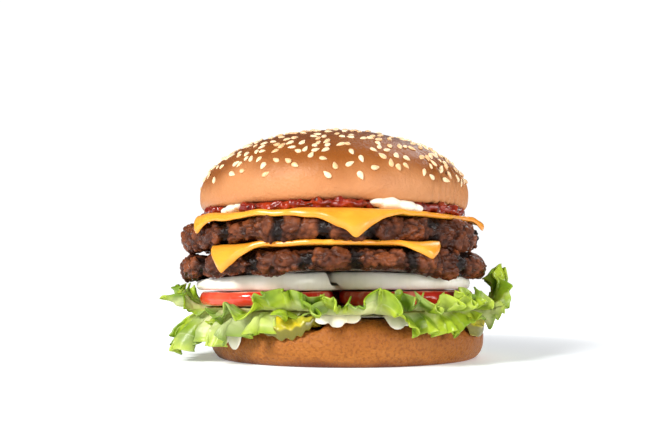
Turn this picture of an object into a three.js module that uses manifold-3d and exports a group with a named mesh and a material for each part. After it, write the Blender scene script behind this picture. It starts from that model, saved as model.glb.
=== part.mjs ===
// A double cheeseburger, in millimetres, +Z up, with its front towards -Y.
// The origin is the centre of the flat underside of the heel bun, on which the burger stands.
//
// Every layer is its own closed mesh, and runs right through the burger. From the table up:
// heel bun, mayonnaise and pickles, lettuce, tomato, onion, patty, cheese, patty, cheese,
// ketchup with two dabs of mayonnaise, top bun.
//
// Places round the burger are given as a bearing in degrees: 0 is the front, 90 the right,
// -90 the left and 180 the back.
import * as THREE from 'three';
import { mergeVertices } from 'three/addons/utils/BufferGeometryUtils.js';
import Module from 'manifold-3d';

const wasm = await Module();
wasm.setup();

// ---------------------------------------------------------------- driving dimensions

const DEG = Math.PI / 180;
const GAP = 0.3; // left between any two layers that touch

const ARCH = { drop: 2.9, span: 57 }; // the stack sags at the left and right over the onions

const HEEL = { radius: 54.9, edge: 7.6, height: 16.8, waist: 8.6, foot: 50 };
const TOP_BUN = { x: -4.8, radius: 54.3, waist: 65.1, top: 90.2, bottom: 58.8, lip: 3.4 };
const BUN_SEGMENTS = 40;

const PATTY = { edge: 4.4, segments: 40 };
const LOWER_PATTY = { x: -4.5, radius: 60.3, bottom: 33.8, top: 42.1, turn: 0 };
const UPPER_PATTY = { x: -6.3, radius: 59.9, bottom: 44.5, top: 52.9, turn: 137 };
const CHEESE = {
  thick: 1.6,
  lift: 0.45,
  sides: 8,
  slack: 0.8,
  rings: [-Infinity, -26, 0, 2.2, 5, 9, Infinity],
};

const KETCHUP = { radius: 53, edge: 1.6, wave: [0.9, 0.6], notch: 43.4, clear: 1.2, fade: 5 };
const ONION = { radius: 31.5, y: -8, barrel: 1.8 };
const TOMATO = { radius: 26.3, y: -17, barrel: 1.8 };
const PICKLE = { radius: 12, thick: 2.6, sunk: 3, ridge: 0.3, pitch: 5 };
const LEAF = { thick: 0.8, inner: 20, bend: 52, level: 18.8, layer: 1.1, rise: 0.15, cell: 6 };
const LEAF_ROWS = [-1, 0, 0.3, 0.65, 1]; // below 0 is under the tomato
const RUFFLE = { waves: 20, height: 1.6, frill: 1.2 };
const MAYO = { thick: 0.6, lift: 0.4, slack: 0.6, radius: 45 };

const COLOURS = {
  crust: 0xc9803c,
  heelCrust: 0xc27a3a,
  beef: 0x5a3424,
  cheese: 0xf7b924,
  ketchup: 0x9c1710,
  mayo: 0xf3ecdc,
  onion: 0xeeeade,
  tomato: 0xc9281a,
  lettuce: 0x8fc43a,
  pickle: 0x8a8a1c,
};

// ---------------------------------------------------------------- small helpers

const lerp = (a, b, t) => a + (b - a) * t;

function smooth(t) {
  const k = Math.min(Math.max(t, 0), 1);
  return k * k * (3 - 2 * k);
}

// The point on the ground plan at a bearing and a distance from (cx, 0).
function onPlan(bearing, distance, cx = 0) {
  return [cx + distance * Math.sin(bearing * DEG), -distance * Math.cos(bearing * DEG)];
}

// The bearing and the distance of a point of the ground plan from (cx, cy).
function fromPlan(x, y, cx = 0, cy = 0) {
  return [Math.atan2(x - cx, cy - y) / DEG, Math.hypot(x - cx, y - cy)];
}

// The angle from one bearing to another, from -180 to 180.
function turnTo(bearing, target) {
  return ((bearing - target + 540) % 360 + 360) % 360 - 180;
}

// A value that runs smoothly through evenly spaced values, the first at t = 0, the last at 1.
function keyed(values, t) {
  const place = Math.min(Math.max(t, 0), 1) * (values.length - 1);
  const i = Math.min(Math.floor(place), values.length - 2);
  return lerp(values[i], values[i + 1], smooth(place - i));
}

// The run and the climb of an even curve of some length that turns up by an angle.
function bent(length, angle) {
  if (Math.abs(angle) < 1e-4) return [length, 0];
  return [(length * Math.sin(angle)) / angle, (length * (1 - Math.cos(angle))) / angle];
}

// How far the stack has sagged at x, which is 0 in the middle.
function arch(x) {
  return -ARCH.drop * (x / ARCH.span) ** 2;
}

function material(colour, roughness) {
  return new THREE.MeshStandardMaterial({ color: colour, roughness, metalness: 0 });
}

function named(name, geometry, colour, roughness) {
  const mesh = new THREE.Mesh(geometry, material(colour, roughness));
  mesh.name = name;
  return mesh;
}

// Moves each vertex of a geometry to where place(x, y, z) says.
function reshaped(geometry, place) {
  geometry.deleteAttribute('uv');
  geometry.deleteAttribute('normal');
  const merged = mergeVertices(geometry, 1e-4);
  const at = merged.getAttribute('position');
  for (let i = 0; i < at.count; i++) at.setXYZ(i, ...place(at.getX(i), at.getY(i), at.getZ(i)));
  return merged;
}

// A profile of [radius, height] points, spun round +Z.
function spun(profile, segments) {
  const points = profile.map(([r, z]) => new THREE.Vector2(r, z));
  return new THREE.LatheGeometry(points, segments).rotateX(Math.PI / 2);
}

// A unit disc with a round rim: radius 0 to 1 is its flat part and 1 to 2 its rim, and its
// height runs from -1 to 1.
function unitDisc(segments, rings, rimSteps) {
  const profile = [];
  for (let i = 0; i <= rings; i++) profile.push([i / rings, -1]);
  for (let i = 1; i < rimSteps; i++) {
    const t = (i / rimSteps - 0.5) * Math.PI;
    profile.push([1 + Math.cos(t), Math.sin(t)]);
  }
  for (let i = rings; i >= 0; i--) profile.push([i / rings, 1]);
  return spun(profile, segments);
}

// A disc with a round rim. radius(bearing) is its outline, edge how deep the rim is, and
// bottom(x, y) and top(x, y) its two faces.
function disc({ x = 0, y = 0, radius, edge, bottom, top, segments, rings = 2, rimSteps = 4 }) {
  return reshaped(unitDisc(segments, rings, rimSteps), (ux, uy, uz) => {
    const [bearing, rho] = fromPlan(ux, uy);
    const shoulder = radius(bearing) - edge;
    const r = rho <= 1 ? rho * shoulder : shoulder + (rho - 1) * edge;
    const [px, py] = onPlan(bearing, r, x);
    return [px, py + y, lerp(bottom(px, py + y), top(px, py + y), (uz + 1) / 2)];
  });
}

// A sheet of cells: point(u, row, w) places it, with u from 0 to 1 along the sheet, row a
// whole number, and w from -0.5 on its lower face to 0.5 on its upper one.
function sheet(cells, rows, point) {
  const box = new THREE.BoxGeometry(2, 2, 1, cells, rows, 1);
  return reshaped(box, (u, v, w) => point((u + 1) / 2, Math.round(((v + 1) / 2) * rows), w));
}

// ---------------------------------------------------------------- solids that are cut

function solid(geometry) {
  geometry.deleteAttribute('uv');
  geometry.deleteAttribute('normal');
  const merged = mergeVertices(geometry, 1e-3);
  const mesh = new wasm.Mesh({
    numProp: 3,
    vertProperties: merged.attributes.position.array,
    triVerts: new Uint32Array(merged.index.array),
  });
  return new wasm.Manifold(mesh);
}

function less(whole, cuts) {
  return cuts.reduce((left, cut) => left.subtract(cut), whole);
}

function geometryOf(manifold) {
  const mesh = manifold.getMesh();
  const geometry = new THREE.BufferGeometry();
  geometry.setAttribute('position', new THREE.BufferAttribute(mesh.vertProperties, 3));
  geometry.setIndex(new THREE.BufferAttribute(mesh.triVerts, 1));
  return geometry;
}

// ---------------------------------------------------------------- draping over a rim

// Where a limp thing lies that reaches along from the middle of a disc and over its rim:
// flat on top, round the rim, then straight down. rise is its height above the skin.
function draped(form, bearing, along, rise) {
  const radius = form.radius(bearing);
  const shoulder = radius - form.edge;
  const [sx, sy] = onPlan(bearing, Math.min(along, shoulder), form.x);
  const top = form.top(sx, sy);
  if (along <= shoulder) return [sx, sy, top + rise];
  const half = top - form.waist(sx, sy);
  const quarter = ((form.edge + half) / 2 + rise) * (Math.PI / 2);
  const past = along - shoulder;
  const t = Math.min(past / quarter, 1) * (Math.PI / 2);
  const [x, y] = onPlan(bearing, shoulder + (form.edge + rise) * Math.sin(t), form.x);
  return [x, y, top - half + (half + rise) * Math.cos(t) - Math.max(past - quarter, 0)];
}

// ---------------------------------------------------------------- buns

function heelProfile() {
  const { radius, edge, height, waist, foot } = HEEL;
  const profile = [[0, 0], [foot / 2, 0], [foot, 0]];
  for (const t of [30, 60, 90]) {
    profile.push([lerp(foot, radius, Math.sin(t * DEG)), waist * (1 - Math.cos(t * DEG))]);
  }
  for (const t of [30, 60, 90]) {
    const out = radius - edge * (1 - Math.cos(t * DEG));
    profile.push([out, waist + (height - waist) * Math.sin(t * DEG)]);
  }
  profile.push([(radius - edge) / 2, height], [0, height]);
  return profile;
}

const heelForm = {
  x: 0,
  edge: HEEL.edge,
  radius: () => HEEL.radius,
  top: () => HEEL.height,
  waist: () => HEEL.waist,
};

// The underside of the top bun, which follows a little of the sag of the stack.
function topBunBottom(x) {
  return TOP_BUN.bottom + 0.4 * arch(x);
}

function topBun() {
  const { x, radius, waist, top, bottom, lip } = TOP_BUN;
  const profile = [[0, bottom], [0.5 * radius, bottom], [radius - lip, bottom]];
  for (const t of [40, 75]) {
    profile.push([
      radius - lip + lip * Math.sin(t * DEG) ** 0.8,
      lerp(bottom, waist, 1 - Math.cos(t * DEG) ** 0.8),
    ]);
  }
  for (const t of [0, 14, 28, 42, 55, 68, 80, 90]) {
    profile.push([radius * Math.cos(t * DEG), waist + (top - waist) * Math.sin(t * DEG)]);
  }
  return reshaped(spun(profile, BUN_SEGMENTS), (px, py, pz) => {
    const sag = 0.4 * arch(px) * (1 - smooth((pz - bottom) / (top - bottom)));
    return [px + x, py, pz + sag];
  });
}

// ---------------------------------------------------------------- patties and cheese

// A hand-formed outline: a circle with shallow lobes, turned for each patty.
function lobes(bearing, turn) {
  const a = (bearing + turn) * DEG;
  return 1 + 0.012 * Math.sin(3 * a + 0.6) + 0.008 * Math.sin(5 * a + 2);
}

function pattyForm({ x, radius, bottom, top, turn }, sagBelow, sagAbove) {
  const form = {
    x,
    edge: PATTY.edge,
    segments: PATTY.segments,
    radius: (bearing) => radius * lobes(bearing, turn),
    bottom: (px) => bottom + sagBelow * arch(px),
    top: (px) => top + sagAbove * arch(px),
  };
  form.waist = (px) => (form.bottom(px) + form.top(px)) / 2;
  return form;
}

// The space that a patty needs, with the gap all round it.
function clearOf(form) {
  return solid(disc({
    ...form,
    edge: form.edge + GAP,
    radius: (bearing) => form.radius(bearing) + GAP,
    bottom: (x) => form.bottom(x) - GAP,
    top: (x) => form.top(x) + GAP,
  }));
}

const lowerPatty = pattyForm(LOWER_PATTY, 1, 0.75);
const upperPatty = pattyForm(UPPER_PATTY, 0.75, 0.35);

// Each corner is its bearing, its reach, and how far the side after it bows out.
const CORNERS = {
  lower: [[-138, 61, 4], [-42, 68, 6.3], [33, 66, 4], [125, 61, 5], [222, 61, 4]],
  upper: [[-165, 60, 4], [-55, 64.5, 3.4], [8, 70, 3.4], [80, 63, 5], [195, 60, 4]],
};

// How far a slice reaches at a fraction t of the way from one corner to the next. The side
// is straight, bowed out in its middle by the melting.
function sideReach([fromBearing, fromReach, bow], [toBearing, toReach], t) {
  const span = (toBearing - fromBearing) * DEG;
  const straight = fromReach * Math.sin(t * span) + toReach * Math.sin((1 - t) * span);
  return (fromReach * toReach * Math.sin(span)) / straight + bow * Math.sin(Math.PI * t) ** 2;
}

// A square slice draped over a patty. corners go clockwise seen from above, from the patty's
// middle, and the fifth closes the round.
function cheese(form, corners) {
  const { sides, thick, lift, slack, rings } = CHEESE;
  const last = rings.length - 1;
  const slice = reshaped(unitDisc(4 * sides, last, 1), (ux, uy, uz) => {
    const [side, rho] = fromPlan(ux, uy);
    const corner = Math.min(Math.floor((side + 180) / 90), 3);
    const t = (side + 180) / 90 - corner;
    const bearing = lerp(corners[corner][0], corners[corner + 1][0], t);
    const ring = Math.round(rho * last);
    const reach = sideReach(corners[corner], corners[corner + 1], t) - 0.4 * (last - ring);
    const shoulder = form.radius(bearing) - form.edge;
    const along = Math.max(0, Math.min(shoulder + rings[ring], reach));
    const off = slack * smooth((along - shoulder - 0.5) / 3);
    return draped(form, bearing, along, lift + off + (thick * (uz + 1)) / 2);
  });
  return geometryOf(less(solid(slice), [clearOf(form)]));
}

// ---------------------------------------------------------------- sauces

const DABS = [
  { name: 'mayo_dab_right', bearing: 24, half: [8.4, 5.2, 1.55], reach: 49.6 },
  { name: 'mayo_dab_left', bearing: -48, half: [4.2, 4.6, 1.45], reach: 49.4 },
];

// The reach of the ketchup, which gives way to the two dabs of mayonnaise.
function ketchupRadius(bearing) {
  const { radius, wave, notch, clear, fade } = KETCHUP;
  const waves = wave[0] * Math.sin(5 * bearing * DEG + 1) + wave[1] * Math.sin(11 * bearing * DEG);
  const given = DABS.map((dab) => {
    const half = Math.atan2(dab.half[0] + clear, dab.reach) / DEG;
    return 1 - smooth((Math.abs(turnTo(bearing, dab.bearing)) - half) / fade);
  });
  return lerp(radius + waves, notch, Math.max(...given));
}

function sauceBed(x) {
  return upperPatty.top(x) + CHEESE.lift + CHEESE.thick + GAP;
}

function ketchup() {
  return disc({
    x: TOP_BUN.x,
    radius: ketchupRadius,
    edge: KETCHUP.edge,
    bottom: sauceBed,
    top: (x) => topBunBottom(x) - GAP,
    segments: 48,
    rings: 2,
    rimSteps: 2,
  });
}

function mayoDab({ bearing, half, reach }) {
  const [x, y] = onPlan(bearing, reach, TOP_BUN.x);
  const level = (sauceBed(x) + topBunBottom(x) - GAP) / 2;
  return new THREE.SphereGeometry(1, 12, 6)
    .rotateX(Math.PI / 2)
    .scale(...half)
    .rotateZ(bearing * DEG)
    .translate(x, y, level);
}

// Where mayonnaise has been pressed out over the heel: [bearing, width, reach].
const DRIPS = [[-50, 18, 65], [-5, 8, 57], [3, 8, 56], [18, 9, 58], [31, 8, 58], [128, 16, 60]];

function drip([middle, width, reach]) {
  return reshaped(unitDisc(10, 4, 1), (ux, uy, uz) => {
    const bearing = middle + (ux * width) / 2 / HEEL.radius / DEG;
    const along = lerp(reach, MAYO.radius - 5, (uy + 1) / 2);
    const off = MAYO.slack * smooth((along - MAYO.radius) / 4);
    return draped(heelForm, bearing, along, MAYO.lift + off + (MAYO.thick * (uz + 1)) / 2);
  });
}

// The layer of mayonnaise with its drips.
function mayonnaise() {
  const level = HEEL.height + GAP;
  const layer = disc({
    radius: (bearing) => MAYO.radius + Math.sin(4 * bearing * DEG),
    edge: 0.3,
    bottom: () => level,
    top: () => level + MAYO.thick,
    segments: 36,
    rings: 1,
    rimSteps: 2,
  });
  return geometryOf(DRIPS.reduce((all, d) => all.add(solid(drip(d))), solid(layer)));
}

// ---------------------------------------------------------------- pickles

const PICKLES = [
  { name: 'pickle_front', bearing: -25, reach: 60.5, turn: 20 },
  { name: 'pickle_right', bearing: 62, reach: 61, turn: -35 },
  { name: 'pickle_left', bearing: -92, reach: 57, turn: 60 },
  { name: 'pickle_back', bearing: 172, reach: 60, turn: 5 },
];

// A crinkle-cut slice, pressed into the heel where it is under the lettuce and bent down
// over the heel's rim outside. With grow it is the dent that it leaves, open above.
function pickle({ bearing: middle, reach, turn }, grow = 0) {
  const { radius, thick, sunk, ridge, pitch } = PICKLE;
  const [cx, cy] = onPlan(middle, reach - radius);
  return reshaped(unitDisc(20, 3, 1), (ux, uy, uz) => {
    const [side, rho] = fromPlan(ux, uy);
    const [dx, dy] = onPlan(side, rho * (radius + grow));
    const [bearing, along] = fromPlan(cx + dx, cy + dy);
    const across = dx * Math.cos(turn * DEG) + dy * Math.sin(turn * DEG);
    const free = smooth((along - HEEL.radius + HEEL.edge) / 8);
    const wave = ridge * free * Math.sin((across / pitch) * 2 * Math.PI);
    const rise = lerp(-sunk, GAP + ridge, free) + wave;
    return draped(heelForm, bearing, along, rise + (uz > 0 ? thick + 6 * grow : -grow));
  });
}

function heel() {
  const dents = PICKLES.map((p) => solid(pickle(p, GAP)));
  return geometryOf(less(solid(spun(heelProfile(), BUN_SEGMENTS)), dents));
}

// ---------------------------------------------------------------- vegetables

// A round slice. bottom(x) and top(x) are its two faces.
function slice({ x, y, radius, barrel, bottom, top }) {
  return disc({
    x,
    y,
    radius: () => radius,
    edge: barrel,
    bottom,
    top,
    segments: 28,
    rings: 2,
    rimSteps: 3,
  });
}

// A face that runs from one height to another between two places.
function ramp(fromX, fromZ, toX, toZ) {
  return (x) => lerp(fromZ, toZ, smooth((x - fromX) / (toX - fromX)));
}

const underPatty = (x) => lowerPatty.bottom(x) - GAP;

const TOMATOES = {
  tomato_left: { ...TOMATO, x: -30.7, bottom: () => 20.9, top: ramp(-57, 26.2, -4, 26.4) },
  tomato_right: { ...TOMATO, x: 22.7, bottom: () => 20.9, top: ramp(-4, 26.4, 49, 26.8) },
  tomato_back: { ...TOMATO, x: -4, y: 29, bottom: () => 19.7, top: () => 26.2 },
};

// The right slice of onion lies over the end of the left one.
const OVER = { from: -28, to: -16, under: 28.7, start: 1, over: 29.3, end: 24, level: 27.1 };

const ONIONS = {
  onion_left: {
    ...ONION,
    x: -28.5,
    bottom: () => 26.7,
    top: (x) => lerp(underPatty(x), OVER.under, smooth((x - OVER.from) / (OVER.to - OVER.from))),
  },
  onion_right: {
    ...ONION,
    x: 17.8,
    bottom: ramp(OVER.start, OVER.over, OVER.end, OVER.level),
    top: underPatty,
  },
  onion_back: { ...ONION, x: -4, y: 39, radius: 19.5, bottom: () => 26.6, top: underPatty },
};

// ---------------------------------------------------------------- lettuce

// The bearings that each leaf spans, the layer it lies in, and, from its first bearing to its
// last, how far it reaches past the bend and how far its margin curls up, in degrees.
const LEAVES = {
  lettuce_left: {
    from: -172,
    to: -19,
    layer: 0,
    length: [12, 13, 13, 15, 18, 23, 24, 19, 15, 9],
    curl: [-20, 10, -30, -15, -45, -75, -88, -85, -80, -65],
  },
  lettuce_tuft: {
    from: -106,
    to: -62,
    layer: 1,
    bend: 57,
    length: [9, 13, 15, 14, 9],
    curl: [20, 50, 72, 50, 5],
  },
  lettuce_fold: {
    from: -60,
    to: -6,
    layer: 1,
    length: [11, 13, 15, 15, 13, 9],
    curl: [-25, -20, -8, 45, 70, 65],
  },
  lettuce_front: {
    from: -17,
    to: 50,
    layer: 0,
    length: [10, 13, 13, 14, 13, 11],
    curl: [10, 40, 50, -65, -75, -50],
  },
  lettuce_curl: {
    from: 6,
    to: 66,
    layer: 1,
    length: [8, 11, 12, 12, 12, 9],
    curl: [70, 70, 50, 45, 50, 30],
  },
  lettuce_right: {
    from: 54,
    to: 112,
    layer: 0,
    bend: 51,
    length: [9, 14, 22, 20, 13, 9],
    curl: [-60, -10, 140, 125, 35, 10],
  },
  lettuce_back: {
    from: 115,
    to: 184,
    layer: 0,
    length: [12, 14, 13, 15, 12],
    curl: [20, 30, -20, 25, 5],
  },
};

// A point of a leaf's middle surface. part is -1 at its root and 0 at the bend, from where
// the leaf curls evenly to its ruffled margin at 1.
function leafPoint({ from, to, layer, bend = LEAF.bend, length, curl }, bearing, part) {
  const t = (bearing - from) / (to - from);
  const out = Math.max(part, 0);
  const wave = RUFFLE.waves * bearing * DEG;
  const angle = keyed(curl, t) * DEG * out;
  const [run, climb] = bent((keyed(length, t) + RUFFLE.frill * Math.cos(wave)) * out, angle);
  const ruffle = RUFFLE.height * Math.sin(wave) * out ** 1.3;
  const flat = lerp(bend, LEAF.inner, Math.max(-part, 0));
  const [x, y] = onPlan(bearing, flat + run - ruffle * Math.sin(angle));
  const level = LEAF.level + layer * LEAF.layer + LEAF.rise * smooth((flat - 44) / 8);
  return new THREE.Vector3(x, y, level + climb + ruffle * Math.cos(angle));
}

function leaf(size) {
  const cells = Math.round((size.to - size.from) / LEAF.cell);
  return sheet(cells, LEAF_ROWS.length - 1, (u, row, w) => {
    const bearing = lerp(size.to, size.from, u);
    const part = LEAF_ROWS[row];
    const at = leafPoint(size, bearing, part);
    const along = leafPoint(size, bearing + 0.5, part).sub(at);
    const outward = leafPoint(size, bearing, part + 0.02).sub(at);
    const normal = outward.cross(along).normalize();
    return at.addScaledVector(normal, LEAF.thick * w).toArray();
  });
}

// ---------------------------------------------------------------- the burger

const burger = new THREE.Group();
burger.add(named('heel_bun', heel(), COLOURS.heelCrust, 0.75));
burger.add(named('mayo_lower', mayonnaise(), COLOURS.mayo, 0.35));
for (const p of PICKLES) burger.add(named(p.name, pickle(p), COLOURS.pickle, 0.3));
for (const [name, size] of Object.entries(LEAVES)) {
  burger.add(named(name, leaf(size), COLOURS.lettuce, 0.45));
}
for (const [name, size] of Object.entries(TOMATOES)) {
  burger.add(named(name, slice(size), COLOURS.tomato, 0.25));
}
for (const [name, size] of Object.entries(ONIONS)) {
  burger.add(named(name, slice(size), COLOURS.onion, 0.35));
}
burger.add(named('patty_lower', disc(lowerPatty), COLOURS.beef, 0.5));
burger.add(named('cheese_lower', cheese(lowerPatty, CORNERS.lower), COLOURS.cheese, 0.4));
burger.add(named('patty_upper', disc(upperPatty), COLOURS.beef, 0.5));
burger.add(named('cheese_upper', cheese(upperPatty, CORNERS.upper), COLOURS.cheese, 0.4));
burger.add(named('ketchup', ketchup(), COLOURS.ketchup, 0.2));
for (const dab of DABS) burger.add(named(dab.name, mayoDab(dab), COLOURS.mayo, 0.3));
burger.add(named('top_bun', topBun(), COLOURS.crust, 0.55));

export default burger;
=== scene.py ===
"""The looks of a double cheeseburger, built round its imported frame.

The shapes are worked out in millimetres and made in metres. The burger's front faces -Y. A
place round it is a bearing in degrees: 0 is the front, 90 the right, -90 the left.
"""

import logging
import math
from dataclasses import dataclass
from enum import Enum
from itertools import product
from typing import Callable, Sequence

import bpy
import numpy as np
from mathutils import Matrix, Vector
from mathutils.bvhtree import BVHTree


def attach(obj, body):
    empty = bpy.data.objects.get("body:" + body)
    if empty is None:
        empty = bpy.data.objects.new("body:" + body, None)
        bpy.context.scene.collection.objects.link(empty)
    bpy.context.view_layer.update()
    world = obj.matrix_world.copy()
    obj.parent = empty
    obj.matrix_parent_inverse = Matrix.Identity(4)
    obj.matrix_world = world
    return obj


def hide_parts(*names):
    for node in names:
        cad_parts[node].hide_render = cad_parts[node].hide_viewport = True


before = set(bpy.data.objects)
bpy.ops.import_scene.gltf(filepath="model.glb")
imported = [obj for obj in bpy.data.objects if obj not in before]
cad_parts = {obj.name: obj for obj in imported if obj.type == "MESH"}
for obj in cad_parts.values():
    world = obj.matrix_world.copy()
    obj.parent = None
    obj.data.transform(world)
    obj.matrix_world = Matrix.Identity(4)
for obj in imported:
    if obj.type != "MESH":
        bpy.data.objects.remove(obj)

LOG = logging.getLogger("burger")
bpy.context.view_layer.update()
MM = 0.001
BODY = "root"
GAP = 0.3  # millimetres between the layers
ONION_Y = -8.0  # where the middles of the two front slices of onion are, front to back
ONION_RADIUS = 31.5

Colour = tuple[float, float, float]
Place = tuple[float, float, float]
Face = Callable[[np.ndarray, np.ndarray], np.ndarray]


class Slot(Enum):
    """The record's material slots."""

    BUN = "bun"
    BEEF = "beef"
    CHEESE = "cheese"
    KETCHUP = "ketchup"
    MAYONNAISE = "mayonnaise"
    ONION = "onion"
    TOMATO = "tomato"
    LETTUCE = "lettuce"
    PICKLE = "pickle"
    SESAME = "sesame"


# ------------------------------------------------------------------ numbers and noise


def smooth(t: np.ndarray | float) -> np.ndarray:
    """Eases a value from 0 to 1."""
    k = np.clip(t, 0.0, 1.0)
    return k * k * (3.0 - 2.0 * k)


def lerp(a: np.ndarray | float, b: np.ndarray | float, t: np.ndarray | float) -> np.ndarray:
    """Mixes a and b."""
    return a + (b - a) * t


def on_plan(bearing: np.ndarray, distance: np.ndarray, x: float = 0.0) -> tuple[np.ndarray, np.ndarray]:
    """Gives the point at a bearing and a distance.

    Args:
        bearing: Degrees round the burger.
        distance: Millimetres from the middle.
        x: Where the middle is, left to right.

    Returns:
        The x and y of the point.
    """
    turn = np.radians(bearing)
    return x + distance * np.sin(turn), -distance * np.cos(turn)


def turn_to(bearing: np.ndarray, target: float) -> np.ndarray:
    """Gives the angle from target to bearing, from -180 to 180 degrees."""
    return (bearing - target + 180.0) % 360.0 - 180.0


def near(bearing: np.ndarray, target: float, width: float) -> np.ndarray:
    """Gives 1 at the target bearing, falling to 0 about width degrees away."""
    return np.exp(-((turn_to(bearing, target) / width) ** 2))


def keyed(values: Sequence[float], t: np.ndarray) -> np.ndarray:
    """Runs smoothly through evenly spaced values.

    Args:
        values: The values, of which the first is at t = 0 and the last at t = 1.
        t: Where to read them.

    Returns:
        The value at each t.
    """
    keys = np.asarray(values, dtype=float)
    place = np.clip(t, 0.0, 1.0) * (len(keys) - 1)
    low = np.minimum(place.astype(int), len(keys) - 2)
    return lerp(keys[low], keys[low + 1], smooth(place - low))


def lattice(cells: np.ndarray, seed: int) -> np.ndarray:
    """Gives each whole-number cell a steady random number from 0 to 1.

    Args:
        cells: The cells, each three whole numbers.
        seed: Which of many lattices to read.

    Returns:
        One number for each cell.
    """
    mask = np.uint64(0xFFFFFFFF)
    c = cells.astype(np.int64).astype(np.uint64)
    mixed = c[..., 0] * np.uint64(73856093) ^ c[..., 1] * np.uint64(19349663)
    mixed = mixed ^ c[..., 2] * np.uint64(83492791) ^ np.uint64(seed * 2654435761 % 2**32)
    mixed = ((mixed & mask) ^ ((mixed & mask) >> np.uint64(13))) * np.uint64(1274126177) & mask
    mixed = (mixed ^ (mixed >> np.uint64(16))) * np.uint64(2246822519) & mask
    return ((mixed ^ (mixed >> np.uint64(13))) & np.uint64(0xFFFFFF)) / float(0xFFFFFF)


def noise(points: np.ndarray, size: float, seed: int = 0) -> np.ndarray:
    """Gives smooth noise from -1 to 1.

    Args:
        points: Places, in millimetres, one to a row.
        size: How far apart its bumps are.
        seed: Which of many noises to give.

    Returns:
        One value for each point.
    """
    p = points / size
    cell = np.floor(p).astype(np.int64)
    f = p - cell
    w = f * f * f * (f * (f * 6.0 - 15.0) + 10.0)
    total = np.zeros(len(points))
    for corner in product((0, 1), repeat=3):
        c = np.array(corner)
        total += np.prod(np.where(c, w, 1.0 - w), axis=1) * lattice(cell + c, seed)
    return 2.0 * total - 1.0


def fractal(points: np.ndarray, size: float, octaves: int, seed: int = 0) -> np.ndarray:
    """Adds noises of halving size and strength."""
    return sum(noise(points, size / 2**i, seed + 31 * i) * 0.5**i for i in range(octaves))


def nuggets(points: np.ndarray, size: float, seed: int) -> tuple[np.ndarray, np.ndarray]:
    """Measures how far each point is from scattered centres.

    Args:
        points: Places, in millimetres, one to a row.
        size: How far apart the centres are.
        seed: Which scattering to use.

    Returns:
        The distances to the nearest centre and to the next, in sizes.
    """
    p = points / size
    cell = np.floor(p).astype(np.int64)
    first = np.full(len(points), 9.0)
    second = np.full(len(points), 9.0)
    for offset in product((-1, 0, 1), repeat=3):
        c = cell + np.array(offset)
        centre = c + np.stack([lattice(c, seed + k) for k in range(3)], axis=1)
        d = np.linalg.norm(p - centre, axis=1)
        second = np.minimum(second, np.maximum(first, d))
        first = np.minimum(first, d)
    return first, second


# ------------------------------------------------------------------ mesh tools


def points_of(piece: bpy.types.Object) -> np.ndarray:
    """Reads a piece's points, in millimetres.

    Args:
        piece: The piece.

    Returns:
        Its points, one to a row.
    """
    flat = np.empty(len(piece.data.vertices) * 3, dtype=np.float32)
    piece.data.vertices.foreach_get("co", flat)
    return flat.reshape(-1, 3).astype(float) / MM


def set_points(piece: bpy.types.Object, points: np.ndarray) -> None:
    """Moves a piece's points, given in millimetres."""
    piece.data.vertices.foreach_set("co", (points * MM).astype(np.float32).ravel())
    piece.data.update()


def normals_of(piece: bpy.types.Object) -> np.ndarray:
    """Reads the outward direction at each of a piece's points.

    Args:
        piece: The piece.

    Returns:
        The directions, one to a row.
    """
    flat = np.empty(len(piece.data.vertices) * 3, dtype=np.float32)
    piece.data.vertices.foreach_get("normal", flat)
    return flat.reshape(-1, 3).astype(float)


def swell(piece: bpy.types.Object, amount: np.ndarray) -> None:
    """Moves each point outwards by an amount in millimetres."""
    set_points(piece, points_of(piece) + normals_of(piece) * amount[:, None])


def mark(piece: bpy.types.Object, name: str, values: np.ndarray) -> None:
    """Stores a value for each point, which the piece's material reads by name."""
    layer = piece.data.attributes.new(name, "FLOAT", "POINT")
    layer.data.foreach_set("value", values.astype(np.float32))


def ball(name: str, segments: int, rings: int) -> tuple[bpy.types.Object, np.ndarray, np.ndarray]:
    """Adds a ball to be shaped, with its poles at the bottom and the top.

    Args:
        name: The piece's name.
        segments: How many points go round it.
        rings: How many steps go from pole to pole.

    Returns:
        The ball, the bearing of each point, and its way from the bottom pole, 0, to the top, 1.
    """
    bpy.ops.mesh.primitive_grid_add(x_subdivisions=segments, y_subdivisions=rings, size=2.0)
    piece = bpy.context.object
    piece.name = piece.data.name = name
    flat = points_of(piece) * MM
    turn, fall = -flat[:, 0] * math.pi, (1.0 - flat[:, 1]) * math.pi / 2
    across = np.sin(fall)
    sphere = np.stack([across * np.sin(turn), -across * np.cos(turn), -np.cos(fall)], axis=1)
    set_points(piece, sphere / MM)
    applied(piece, "WELD", merge_threshold=1e-5)
    at = points_of(piece) * MM
    bearing = np.degrees(np.arctan2(at[:, 0], -at[:, 1]))
    return piece, bearing, np.arctan2(np.hypot(at[:, 0], at[:, 1]), -at[:, 2]) / math.pi


def profiled(profile: np.ndarray, t: np.ndarray) -> tuple[np.ndarray, np.ndarray]:
    """Walks along an outline.

    Args:
        profile: The outline's points, each a radius and a height.
        t: How far along it to go, from 0 to 1 of its length.

    Returns:
        The radius and the height there.
    """
    steps = np.linalg.norm(np.diff(profile, axis=0), axis=1)
    way = np.concatenate([[0.0], np.cumsum(steps)]) / steps.sum()
    return np.interp(t, way, profile[:, 0]), np.interp(t, way, profile[:, 1])


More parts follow.
